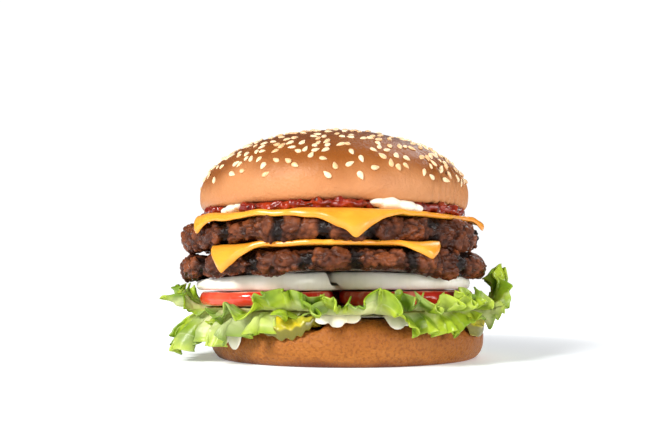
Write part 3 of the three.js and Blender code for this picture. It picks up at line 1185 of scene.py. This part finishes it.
@dataclass
class CheeseSlice:
    """A square slice that has melted over a patty.

    Each corner is its bearing, its reach, and how far the side after it bows out.
    """

    node: str
    form: Round
    corners: tuple[tuple[float, float, float], ...]
    seed: int
    point: float = 5.0
    thick: float = 1.9
    lift: float = 0.5
    segments: int = 440
    rings: int = 150
    face: float = 0.46

    def outline(self, bearing: np.ndarray) -> tuple[np.ndarray, np.ndarray]:
        """Gives the bearing and the reach of the slice's edge.

        Args:
            bearing: The way round the slice, a quarter to each side.

        Returns:
            The bearing from the patty's middle, and the reach.
        """
        place = (bearing + 180.0) / 90.0
        side = np.clip(np.floor(place).astype(int), 0, 3)
        way = place - side
        corners = np.array([*self.corners, self.corners[0]])
        corners[-1, 0] += 360.0
        start, end = corners[side], corners[side + 1]
        span = np.radians(end[:, 0] - start[:, 0])
        straight = start[:, 1] * np.sin(way * span) + end[:, 1] * np.sin((1 - way) * span)
        bow = start[:, 2] * np.sin(math.pi * way) ** 2
        reach = start[:, 1] * end[:, 1] * np.sin(span) / straight + bow
        from_corner = np.minimum(way, 1 - way) * 90.0
        tip = self.point * np.exp(-from_corner / 7.0)
        tip -= (1.2 + 0.35 * self.point) * np.exp(-from_corner / 2.2)
        return lerp(start[:, 0], end[:, 0], way), reach + tip

    def build(self, paint: bpy.types.Material) -> bpy.types.Object:
        """Builds the slice.

        Args:
            paint: The material that it gets.

        Returns:
            The piece.
        """
        piece, bearing, t = ball(self.node + "_slice", self.segments, self.rings)
        turned, reach = self.outline(bearing)
        across, out, level = disc_profile(t, self.face)
        half = self.thick / 2
        edge = np.stack([*on_plan(turned, reach), np.zeros_like(reach)], axis=1)
        reach = reach + 0.9 * fractal(edge, 9.0, 2, self.seed)
        along = across * (reach - half) + out * half
        flat = np.stack([*on_plan(turned, along), np.zeros_like(along)], axis=1)
        past = along - self.form.reach(turned) + self.form.edge
        off = 0.45 * smooth(past / 3.0) + 0.5 * smooth((past - 6.0) / 6.0)
        off += 0.5 * noise(flat, 9.0, self.seed + 3) * smooth((past + 3.0) / 5.0)
        thin = 1.0 - 0.25 * smooth((past - 5.0) / 6.0)
        rise = self.lift + np.maximum(off, 0.0) + half * (1 + level) * thin
        set_points(piece, self.form.drape(turned, along, rise))
        dress(piece, paint, Slot.CHEESE, self.node)
        return piece


# ------------------------------------------------------------------ sauces


@dataclass
class Ketchup:
    """The ketchup under the top bun, pressed out unevenly round the rim."""

    x: float = -4.8
    radius: float = 53.2
    edge: float = 2.0
    over_patty: float = 2.4
    ceiling: float = 58.8
    segments: int = 480
    rings: int = 60
    face: float = 0.2

    def build(self) -> bpy.types.Object:
        """Builds the layer.

        Returns:
            The piece.
        """
        piece, bearing, t = ball("ketchup_layer", self.segments, self.rings)
        across, out, level = disc_profile(t, self.face)
        px, py = on_plan(bearing, np.full_like(bearing, self.radius))
        ring = np.stack([px, py, np.zeros_like(px)], axis=1)
        reach = self.radius + 1.4 * noise(ring, 11.0, 70) + 0.7 * noise(ring, 4.5, 71)
        reach += 1.6 * near(bearing, 2.0, 9.0) + 0.9 * near(bearing, -28.0, 12.0)
        reach -= 8.0 * near(bearing, 24.0, 10.0) + 8.0 * near(bearing, -48.0, 6.0)
        shoulder = reach - self.edge
        r = np.where(across < 1.0, across**0.6 * shoulder, shoulder + out * self.edge)
        x, y = on_plan(bearing, r, self.x)
        low = UPPER_PATTY.high(x) + self.over_patty
        high = self.ceiling + 0.4 * SAG.at(x) + 0.25 * smooth((r - 46.0) / 5.0)
        z = lerp(low, high, (level + 1) / 2)
        set_points(piece, np.stack([x, y, z], axis=1))
        at = points_of(piece)
        rim = smooth((r - reach + 7.0) / 5.0)
        first, second = nuggets(at, 4.4, 72)
        lumps = 1.1 * smooth((second - first) / 0.6) - 0.5 + 0.7 * fractal(at, 2.6, 2, 73)
        swell(piece, rim * lumps)
        dress(piece, KetchupFinish().material(), Slot.KETCHUP, "ketchup")
        return piece


@dataclass(frozen=True)
class Lobe:
    """One rounded lump of a sauce: where its middle is and its half sizes, in millimetres."""

    bearing: float
    distance: float
    z: float
    half: tuple[float, float, float]
    x: float = 0.0

    def build(self) -> bpy.types.Object:
        """Builds the lump.

        Returns:
            The piece.
        """
        piece, _, _ = ball("lobe", 32, 20)
        at = points_of(piece) * MM * np.array(self.half)
        turn = math.radians(self.bearing)
        middle_x, middle_y = on_plan(np.float64(self.bearing), np.float64(self.distance), self.x)
        x = at[:, 0] * math.cos(turn) - at[:, 1] * math.sin(turn) + middle_x
        y = at[:, 0] * math.sin(turn) + at[:, 1] * math.cos(turn) + middle_y
        set_points(piece, np.stack([x, y, at[:, 2] + self.z], axis=1))
        return piece


def melted(lobes: Sequence[bpy.types.Object], name: str, voxel: float, rounds: int) -> bpy.types.Object:
    """Melts lumps into one smooth blob.

    Args:
        lobes: The lumps.
        name: The blob's name.
        voxel: The size of the mesh's cells, in millimetres.
        rounds: How often it is smoothed.

    Returns:
        The blob.
    """
    piece = joined(lobes, name)
    applied(piece, "REMESH", mode="VOXEL", voxel_size=voxel * MM)
    applied(piece, "SMOOTH", factor=0.5, iterations=rounds)
    return piece


@dataclass
class MayonnaiseDabs:
    """The two dabs of mayonnaise beside the ketchup."""

    x: float = -4.8

    def build(self, paint: bpy.types.Material) -> None:
        """Builds both dabs.

        Args:
            paint: The material that they get.
        """
        right = [
            Lobe(17.5, 50.6, 57.9, (3.6, 4.0, 1.7), self.x),
            Lobe(22.0, 51.2, 57.4, (4.6, 4.6, 2.4), self.x),
            Lobe(28.5, 51.2, 56.8, (4.8, 4.6, 2.3), self.x),
            Lobe(34.5, 50.6, 56.1, (3.0, 4.0, 1.9), self.x),
        ]
        left = [
            Lobe(-50.5, 50.6, 55.6, (2.4, 3.8, 1.8), self.x),
            Lobe(-46.5, 50.8, 56.4, (2.8, 4.0, 2.1), self.x),
            Lobe(-42.5, 50.4, 57.2, (2.0, 3.6, 1.4), self.x),
        ]
        for name, node, lobes in (
            ("mayonnaise_right", "mayo_dab_right", right),
            ("mayonnaise_left", "mayo_dab_left", left),
        ):
            piece = melted([lobe.build() for lobe in lobes], name, 0.35, 8)
            at = points_of(piece)
            swell(piece, 0.25 * noise(at, 3.0, 80))
            dress(piece, paint, Slot.MAYONNAISE, node)


@dataclass(frozen=True)
class Drip:
    """Mayonnaise pressed out over the heel: its bearing, width, reach and thickness."""

    bearing: float
    width: float
    reach: float
    thick: float = 2.4
    under_leaf: float = 1.1
    root: float = 40.0

    def build(self) -> bpy.types.Object:
        """Builds the drip, with a blunt end, over the heel's rim and thin under the lettuce.

        Returns:
            The piece.
        """
        piece, _, _ = ball("drip", 60, 40)
        at = points_of(piece) * MM
        way = np.clip(at[:, 1], -1.0, 1.0)
        blunt = (1 - np.abs(way) ** 3.5) ** (1 / 2.2) / np.sqrt(np.maximum(1 - way**2, 1e-6))
        blunt = np.where(np.abs(way) > 0.9999, 0.0, blunt)
        turned = self.bearing + np.degrees(at[:, 0] * blunt * self.width / 2 / HEEL.radius)
        along = lerp(self.reach, self.root, (way + 1) / 2)
        thick = lerp(self.under_leaf, self.thick, smooth((along - 47.0) / 5.0))
        rise = 0.25 + thick * (at[:, 2] * np.minimum(blunt, 1.3) / 1.3 + 1) / 2
        set_points(piece, HEEL.drape(turned, along, rise, HEEL_WAIST / HEEL.top))
        return piece


@dataclass
class LowerMayonnaise:
    """The layer of mayonnaise on the heel, with the lobes that hang over its rim."""

    drips: tuple[Drip, ...] = (
        Drip(-54, 10, 64.0, 2.6),
        Drip(-47, 9, 65.5, 2.8),
        Drip(-10, 8, 55.2, 3.0),
        Drip(-4.5, 7.5, 56.8, 3.3),
        Drip(1, 8, 54.8, 3.0),
        Drip(18, 8, 57.5, 3.0),
        Drip(22, 6, 56.0, 2.8),
        Drip(31, 7, 57.5, 3.0),
        Drip(124, 9, 60.0),
        Drip(131, 9, 58.0),
    )

    def build(self, paint: bpy.types.Material) -> bpy.types.Object:
        """Builds the layer.

        Args:
            paint: The material that it gets.

        Returns:
            The piece.
        """
        layer, bearing, t = ball("layer", 96, 24)
        across, out, level = disc_profile(t, 0.35)
        x, y = on_plan(bearing, across * 44.5 + out * 0.6)
        set_points(layer, np.stack([x, y, HEEL.top + 0.7 + 0.5 * level], axis=1))
        piece = melted([layer, *[drip.build() for drip in self.drips]], "mayonnaise_lower", 0.45, 4)
        dress(piece, paint, Slot.MAYONNAISE, "mayo_lower")
        return piece


# ------------------------------------------------------------------ pickles


@dataclass
class Pickle:
    """A crinkle-cut slice that is pressed into the heel and bends down over its rim."""

    node: str
    bearing: float
    reach: float
    turn: float
    radius: float = 12.0
    thick: float = 2.6
    sunk: float = 3.0
    ridge: float = 0.32
    pitch: float = 3.6
    barrel: float = 0.9
    round_rim: float = 12.4
    segments: int = 140
    rings: int = 90

    def middle(self) -> tuple[float, float]:
        """Gives the slice's middle as if the heel were flat."""
        x, y = on_plan(np.float64(self.bearing), np.float64(self.reach - self.radius))
        return float(x), float(y)

    def dent(self, at: np.ndarray) -> np.ndarray:
        """Gives how deep the heel is pressed in under the slice.

        Args:
            at: Points of the heel, one to a row.

        Returns:
            The depths, in millimetres.
        """
        x, y = self.middle()
        shoulder = HEEL.radius - HEEL.edge
        upper = HEEL.top - HEEL_WAIST
        spread = np.hypot(at[:, 0], at[:, 1])
        fall = 1 - np.clip(at[:, 2] - HEEL_WAIST, 0.0, upper) / upper
        along = np.where(spread > shoulder, shoulder + self.round_rim * fall, spread)
        scale = along / np.maximum(spread, 1.0)
        far = np.hypot(at[:, 0] * scale - x, at[:, 1] * scale - y)
        depth = self.sunk + 0.6 - (self.sunk + 0.2) * smooth((along - shoulder) / 8.0)
        return depth * smooth((self.radius + 2.2 - far) / 2.6)

    def build(self, paint: bpy.types.Material) -> bpy.types.Object:
        """Builds the slice.

        Args:
            paint: The material that it gets.

        Returns:
            The piece.
        """
        piece, side, t = ball(self.node + "_slice", self.segments, self.rings)
        across, out, level = disc_profile(t, 0.36)
        radius = self.radius * (1 + 0.03 * np.sin(np.radians(3 * side + self.turn)))
        x0, y0 = self.middle()
        dx, dy = on_plan(side, across * (radius - self.barrel) + out * self.barrel)
        bearing = np.degrees(np.arctan2(x0 + dx, -(y0 + dy)))
        along = np.hypot(x0 + dx, y0 + dy)
        turn = math.radians(self.turn)
        across_ridges = dx * math.cos(turn) + dy * math.sin(turn)
        wave = self.ridge * np.sin(across_ridges * math.tau / self.pitch)
        free = smooth((along - HEEL.radius + HEEL.edge) / 8.0)
        rise = lerp(-self.sunk, GAP + self.ridge, free) + wave * free
        rise += self.thick * (level + 1) / 2
        set_points(piece, HEEL.drape(bearing, along, rise, HEEL_WAIST / HEEL.top))
        at = points_of(piece)
        swell(piece, 0.12 * fractal(at, 3.0, 2, 90))
        mark(piece, "skin", smooth((out - 0.25) / 0.5))
        dress(piece, paint, Slot.PICKLE, self.node)
        return piece


# ------------------------------------------------------------------ onion and tomato


def level_at(height: float) -> Face:
    """Makes a flat face at a height."""
    return lambda x, y: np.full_like(x, height)


def slope(from_x: float, from_z: float, to_x: float, to_z: float) -> Face:
    """Makes a face that runs from one height to another between two places."""
    return lambda x, y: lerp(from_z, to_z, smooth((x - from_x) / (to_x - from_x)))


def under_patty(x: np.ndarray, y: np.ndarray) -> np.ndarray:
    """Gives the face that meets the lower patty from below."""
    return LOWER_PATTY.low(x) - GAP


def stepped(plain: Face, height: float, x: float, radius: float) -> Face:
    """Makes a face that bends to a height where it overlaps the slice of onion round x.

    Args:
        plain: The face elsewhere.
        height: The height over or under the other slice.
        x: The other slice's middle.
        radius: The other slice's radius.

    Returns:
        The bent face.
    """
    return lambda px, py: lerp(
        plain(px, py), height, smooth((radius + 3.0 - np.hypot(px - x, py - ONION_Y)) / 3.0)
    )


@dataclass
class VegetableSlice:
    """A round slice between a lower and an upper face."""

    node: str
    x: float
    y: float
    radius: float
    barrel: float
    low: Face
    high: Face
    seed: int
    segments: int = 260
    rings: int = 80
    face: float = 0.3

    def shape(self) -> tuple[bpy.types.Object, np.ndarray, np.ndarray, np.ndarray]:
        """Builds the plain slice.

        Returns:
            The slice, and for each point the distance from its middle, the way out on the
            rim, and the level from its lower face to its upper.
        """
        piece, bearing, t = ball(self.node + "_slice", self.segments, self.rings)
        across, out, level = disc_profile(t, self.face)
        wobble = 1 + 0.008 * np.sin(np.radians(2 * bearing + 40 * self.seed))
        wobble -= 0.008 + 0.006 * (1 + np.sin(np.radians(5 * bearing + 70 * self.seed)))
        shoulder = self.radius * wobble - self.barrel
        r = np.where(across < 1.0, across**0.7 * shoulder, shoulder + out * self.barrel)
        dx, dy = on_plan(bearing, r)
        x = self.x + dx
        y = self.y + dy
        z = lerp(self.low(x, y), self.high(x, y), (level + 1) / 2)
        set_points(piece, np.stack([x, y, z], axis=1))
        return piece, r, out, level


@dataclass
class OnionSlice(VegetableSlice):
    """A slice of onion, whose layers show as rings on its faces."""

    layer: float = 4.6

    def build(self, paint: bpy.types.Material) -> bpy.types.Object:
        """Builds the slice.

        Args:
            paint: The material that it gets.

        Returns:
            The piece.
        """
        piece, r, out, level = self.shape()
        at = points_of(piece)
        depth = (self.radius - r) / self.layer + 0.12 * noise(at, 14.0, self.seed)
        on_face = (np.abs(level) > 0.9) * (r < self.radius - 2.5)
        ring = np.exp(-((((depth + 0.5) % 1.0) - 0.5) / 0.07) ** 2) * on_face
        swell(piece, -0.3 * ring - 0.1 * (1 + noise(at, 6.0, self.seed + 1)))
        around = np.degrees(np.arctan2(at[:, 0] - self.x, -(at[:, 1] - self.y)))
        fibre = 0.5 * np.sin(np.radians(around * 61)) + 0.5 * np.sin(np.radians(around * 97 + 30))
        swell(piece, 0.05 * fibre * smooth(out / 0.4))
        mark(piece, "ring", np.clip(ring + 0.16 * (fibre > 0.55) * (out > 0.3), 0, 1))
        dress(piece, paint, Slot.ONION, self.node)
        return piece


@dataclass
class TomatoSlice(VegetableSlice):
    """A slice of tomato, with its skin round the rim."""

    def build(self, paint: bpy.types.Material) -> bpy.types.Object:
        """Builds the slice.

        Args:
            paint: The material that it gets.

        Returns:
            The piece.
        """
        piece, _, out, _ = self.shape()
        at = points_of(piece)
        swell(piece, 0.22 * fractal(at, 9.0, 2, self.seed) - 0.12)
        mark(piece, "skin", smooth((out - 0.35) / 0.3))
        dress(piece, paint, Slot.TOMATO, self.node)
        return piece


# ------------------------------------------------------------------ lettuce


def bent(length: np.ndarray, angle: np.ndarray) -> tuple[np.ndarray, np.ndarray]:
    """Gives the run and the climb of an even curve of some length that turns up by an angle."""
    safe = np.where(np.abs(angle) < 1e-4, 1e-4, angle)
    return length * np.sin(safe) / safe, length * (1 - np.cos(safe)) / safe


@dataclass
class Leaf:
    """A frilled leaf of lettuce that lies on the heel and hangs or curls over its rim.

    From its first bearing to its last, length is how far it reaches past the bend and curl
    is how far its margin has turned up, in degrees.
    """

    node: str
    bearings: tuple[float, float]
    layer: int
    length: tuple[float, ...]
    curl: tuple[float, ...]
    seed: int
    ribs: tuple[tuple[float, float], ...] = ()
    wave: float = 12.0
    sway: float = 3.2
    frill: float = 1.4
    root: float = 24.0
    bend: float = 52.0
    base: float = 18.8
    step: float = 1.1
    thick: float = 0.5
    hidden: float = 0.12
    margin: float = 62.0
    ends: float = 0.08
    columns: float = 3.2
    rows: int = 76

    def build(self, paint: bpy.types.Material) -> bpy.types.Object:
        """Builds the leaf.

        Args:
            paint: The material that it gets.

        Returns:
            The piece.
        """
        first, last = self.bearings
        columns = int((last - first) * self.columns)
        bpy.ops.mesh.primitive_grid_add(x_subdivisions=columns, y_subdivisions=self.rows, size=2.0)
        piece = bpy.context.object
        piece.name = piece.data.name = self.node + "_leaf"
        at = points_of(piece) * MM
        u, v = (at[:, 0] + 1) / 2, (1 - at[:, 1]) / 2
        bearing = lerp(first, last, u)
        arc = np.radians(bearing) * self.margin
        ring = np.stack([arc, np.zeros_like(arc), np.zeros_like(arc)], axis=1)
        shown = np.clip((v - self.hidden) / (1 - self.hidden), 0, 1)
        ends = smooth(np.minimum(u, 1 - u) / self.ends)
        length = keyed(self.length, u) * lerp(0.6, 1.0, ends) + self.ragged(ring)
        phase = math.tau * (arc + 3.5 * noise(ring, 19.0, self.seed + 3)) / self.wave
        angle = np.radians(keyed(self.curl, u) + 16 * noise(ring, 9.0, self.seed + 11)) * shown
        run, climb = bent(length * shown, angle)
        tall = self.sway * (0.8 + 0.5 * noise(ring, 15.0, self.seed + 4)) * shown**1.3
        crisp = np.sin(math.tau * (arc / 4.6 + 0.9 * noise(ring, 6.0, self.seed + 5)))
        crimp = np.sin(math.tau * (arc / 2.3 + 0.9 * noise(ring, 4.0, self.seed + 6)))
        fine = self.frill * (shown**2.5 * crisp + 0.45 * shown**6 * crimp)
        flat = np.stack([arc, length * shown, np.zeros_like(arc)], axis=1)
        blister = 0.7 * noise(flat, 3.4, self.seed + 7) + 0.35 * noise(flat, 1.5, self.seed + 8)
        ruffle = tall * np.sin(phase) + fine + blister * (0.3 + 0.7 * shown)
        inner = lerp(self.root, self.bend, np.clip(v / self.hidden, 0, 1))
        pulled = 0.4 * tall * (1 + np.cos(2 * phase)) * np.cos(angle)
        x, y = on_plan(bearing, inner + run - pulled - ruffle * np.sin(angle))
        slide = 0.7 * tall * np.sin(2 * phase + 0.5) + 0.5 * fine * np.cos(phase)
        sx, sy = on_plan(bearing + 90.0, slide)
        z = self.base + self.layer * self.step + climb + ruffle * np.cos(angle)
        set_points(piece, np.stack([x + sx, y + sy, z], axis=1))
        mark(piece, "blade", self.blade(bearing, flat, shown))
        applied(piece, "SOLIDIFY", thickness=self.thick * MM, offset=0.0)
        dress(piece, paint, Slot.LETTUCE, self.node)
        return piece

    def ragged(self, ring: np.ndarray) -> np.ndarray:
        """Gives the unevenness of the margin.

        Args:
            ring: Places along the margin, one to a row.

        Returns:
            How far each place of the margin stands out, in millimetres.
        """
        return (
            2.4 * noise(ring, 7.0, self.seed)
            + 1.7 * noise(ring, 2.8, self.seed + 1)
            + 0.7 * noise(ring, 1.1, self.seed + 2)
        )

    def blade(self, bearing: np.ndarray, flat: np.ndarray, shown: np.ndarray) -> np.ndarray:
        """Gives how green the leaf is: 0 on its ribs and veins, 1 on its blade.

        Args:
            bearing: Each point's bearing, in degrees.
            flat: The points on the flat leaf, one to a row.
            shown: How near each point is to the margin, from 0 to 1.

        Returns:
            A value from 0 to 1 for each point.
        """
        rib = sum(
            (np.exp(-((turn_to(bearing, middle) / width) ** 2)) for middle, width in self.ribs),
            np.zeros_like(bearing),
        )
        vein = np.abs(np.sin(flat[:, 0] / 2.4 + 2.4 * noise(flat, 7.0, self.seed + 9)))
        green = smooth((shown + 0.1) / 0.8) * (1 - 0.92 * np.clip(rib, 0, 1) * (1 - shown**4))
        green -= 0.5 * smooth((0.22 - vein) / 0.22) * (1 - 0.5 * shown)
        return np.clip(green + 0.2 * noise(flat, 5.0, self.seed + 10), 0, 1)


# ------------------------------------------------------------------ studio


@dataclass
class Studio:
    """The camera, the pale floor and the soft lights."""

    lens: float = 49.09
    sensor: float = 36.0
    eye: Place = (-6.6, -366.0, 31.2)
    pitch: float = 3.69
    aim: Place = (0.0, 0.0, 0.045)
    seen: float = 1.05
    lit: float = 0.17
    lights: tuple[tuple[str, Place, float, float, Colour], ...] = (
        ("key", (-0.55, -0.6, 0.52), 0.28, 12.0, (1.0, 0.98, 0.95)),
        ("fill", (0.6, -0.6, 0.14), 0.3, 4.2, (1.0, 0.99, 0.97)),
        ("back", (0.35, 0.5, 0.6), 0.4, 2.4, (1.0, 1.0, 1.0)),
    )

    def build(self) -> None:
        """Sets up the whole studio."""
        self.camera()
        self.floor()
        self.world()
        for name, at, size, power, colour in self.lights:
            self.light(name, at, size, power, colour)
        scene = bpy.context.scene
        scene.view_settings.view_transform = "Standard"
        scene.view_settings.look = "None"
        scene.view_settings.exposure = 0.0

    def camera(self) -> None:
        """Adds the camera."""
        data = bpy.data.cameras.new("camera")
        data.lens = self.lens
        data.sensor_width = self.sensor
        data.clip_start = 0.01
        eye = bpy.data.objects.new("camera", data)
        eye.location = Vector(self.eye) * MM
        eye.rotation_euler = (math.radians(90.0 + self.pitch), 0.0, 0.0)
        bpy.context.collection.objects.link(eye)
        bpy.context.scene.camera = eye

    def floor(self) -> None:
        """Adds the floor, which glows faintly so that it reads as white."""
        bpy.ops.mesh.primitive_plane_add(size=8.0, location=(0.0, 0.0, 0.0))
        floor = bpy.context.object
        floor.name = "floor"
        paint = Paint("floor")
        paint.set(Base_Color=(0.8, 0.84, 0.88), Roughness=0.9, Specular_IOR_Level=0.1)
        paint.set(Emission_Color=(1.0, 1.0, 1.0, 1.0))
        away = paint.node("ShaderNodeVectorMath", {0: paint.place}, operation="LENGTH").outputs["Value"]
        glow = paint.math("MULTIPLY", paint.ramp(away, 0.08, 0.3), 0.7)
        paint.tree.links.new(paint.math("ADD", glow, 0.3), paint.shader.inputs["Emission Strength"])
        floor.data.materials.append(paint.material)

    def world(self) -> None:
        """Makes the surroundings white to look at, and dimmer as a light."""
        world = bpy.data.worlds.new("studio")
        bpy.context.scene.world = world
        world.use_nodes = True
        tree = world.node_tree
        back = tree.nodes["Background"]
        path = tree.nodes.new("ShaderNodeLightPath")
        level = tree.nodes.new("ShaderNodeMapRange")
        level.inputs["To Min"].default_value = self.lit
        level.inputs["To Max"].default_value = self.seen
        tree.links.new(path.outputs["Is Camera Ray"], level.inputs["Value"])
        tree.links.new(level.outputs[0], back.inputs["Strength"])
        back.inputs["Color"].default_value = (1.0, 1.0, 1.0, 1.0)

    def light(self, name: str, at: Place, size: float, power: float, colour: Colour) -> None:
        """Adds a square soft light that faces the burger.

        Args:
            name: The light's name.
            at: Where it is, in metres.
            size: The length of its sides, in metres.
            power: Its power, in watts.
            colour: The colour of its light.
        """
        data = bpy.data.lights.new(name, "AREA")
        data.size, data.energy, data.color = size, power, colour
        lamp = bpy.data.objects.new(name, data)
        lamp.location = at
        lamp.rotation_euler = (Vector(self.aim) - Vector(at)).to_track_quat("-Z", "Y").to_euler()
        bpy.context.collection.objects.link(lamp)


# ------------------------------------------------------------------ the burger


PICKLES = (
    Pickle("pickle_front", -25, 60.5, 20),
    Pickle("pickle_right", 62, 61, -35),
    Pickle("pickle_left", -92, 57, 60),
    Pickle("pickle_back", 172, 60, 5),
)

LEAVES = (
    Leaf(
        "lettuce_left", (-172, -19), 0,
        (12, 13, 13, 15, 18, 22, 23, 19, 15, 9), (-20, 10, -30, -15, -48, -82, -92, -85, -80, -65),
        seed=100, ribs=((-55, 7), (-37, 9)), wave=9.8, sway=4.4, frill=2.0,
    ),
    Leaf(
        "lettuce_tuft", (-106, -62), 1,
        (9, 13, 15, 14, 9), (20, 50, 72, 50, 5),
        seed=115, ribs=((-70, 6),), wave=8.5, sway=3.4, frill=1.6, bend=57.0,
    ),
    Leaf(
        "lettuce_fold", (-60, -6), 1,
        (11, 13, 15, 15, 13, 9), (-25, -20, -8, 45, 70, 65),
        seed=130, ribs=((-46, 5),), wave=12.0, sway=2.8,
    ),
    Leaf(
        "lettuce_front", (-17, 50), 0,
        (10, 13, 13, 14, 13, 11), (10, 40, 50, -65, -75, -50),
        seed=160, ribs=((6, 5),), wave=9.5, sway=3.2, frill=1.6,
    ),
    Leaf(
        "lettuce_curl", (6, 66), 1,
        (8, 11, 12, 12, 12, 9), (70, 70, 50, 45, 50, 30),
        seed=190, wave=8.0, sway=3.2, frill=1.6,
    ),
    Leaf(
        "lettuce_right", (54, 112), 0,
        (9, 14, 22, 20, 13, 9), (-60, -10, 140, 125, 35, 10),
        seed=220, ribs=((62, 5),), wave=9.5, sway=2.7, frill=1.6, bend=51.0,
    ),
    Leaf(
        "lettuce_back", (115, 184), 0,
        (12, 14, 13, 15, 12), (20, 30, -20, 25, 5),
        seed=250,
    ),
)

ONIONS = (
    OnionSlice(
        "onion_left", -28.5, ONION_Y, ONION_RADIUS, 1.8,
        level_at(26.5), stepped(under_patty, 28.8, 17.8, ONION_RADIUS), 1,
    ),
    OnionSlice(
        "onion_right", 17.8, ONION_Y, ONION_RADIUS, 1.8,
        stepped(level_at(26.9), 29.2, -28.5, ONION_RADIUS), under_patty, 2,
    ),
    OnionSlice("onion_back", -4.0, 39, 19.5, 1.8, level_at(26.4), under_patty, 3),
)

TOMATOES = (
    TomatoSlice("tomato_left", -30.7, -17, 26.3, 1.8, level_at(20.9), slope(-57, 26.2, -4, 26.4), 4),
    TomatoSlice("tomato_right", 22.7, -17, 26.3, 1.8, level_at(20.9), slope(-4, 26.4, 49, 26.8), 5),
    TomatoSlice("tomato_back", -4.0, 29, 26.3, 1.8, level_at(19.7), level_at(26.2), 6),
)

PATTIES = (
    Patty(
        "patty_lower", LOWER_PATTY, (-55, -36, -15, 2, 21, 43),
        ((-26, 22, 1.7), (-55, 12, 0.8), (42, 14, 0.9), (140, 30, 1.0)), 300,
    ),
    Patty(
        "patty_upper", UPPER_PATTY, (-46, -25, -8, 7, 31, 52),
        ((52, 15, 2.6), (-66, 14, 1.4), (-160, 30, 1.2)), 340,
    ),
)

CHEESES = (
    CheeseSlice(
        "cheese_lower", LOWER_PATTY,
        ((-138, 60, 4), (-42, 66.0, 6.6), (33, 64, 4), (125, 60, 5)), 400,
    ),
    CheeseSlice(
        "cheese_upper", UPPER_PATTY,
        ((-165, 58, 4), (-55, 62.5, 3.4), (8, 68.0, 3.4), (80, 61, 5)), 410,
    ),
)


def main() -> None:
    """Builds the burger from the table up, and the studio round it."""
    logging.basicConfig(level=logging.INFO, format="%(name)s: %(message)s")
    bpy.ops.object.select_all(action="DESELECT")
    HeelBun().build(PICKLES)
    mayonnaise = MayonnaiseFinish().material()
    LowerMayonnaise().build(mayonnaise)
    for group, finish in (
        (PICKLES, PickleFinish()),
        (LEAVES, LettuceFinish()),
        (TOMATOES, TomatoFinish()),
        (ONIONS, OnionFinish()),
        (PATTIES, BeefFinish()),
        (CHEESES, CheeseFinish()),
    ):
        paint = finish.material()
        for item in group:
            item.build(paint)
    Ketchup().build()
    MayonnaiseDabs().build(mayonnaise)
    bun = TopBun()
    bun.sow(bun.build())
    Studio().build()


if __name__ == "__main__":
    main()
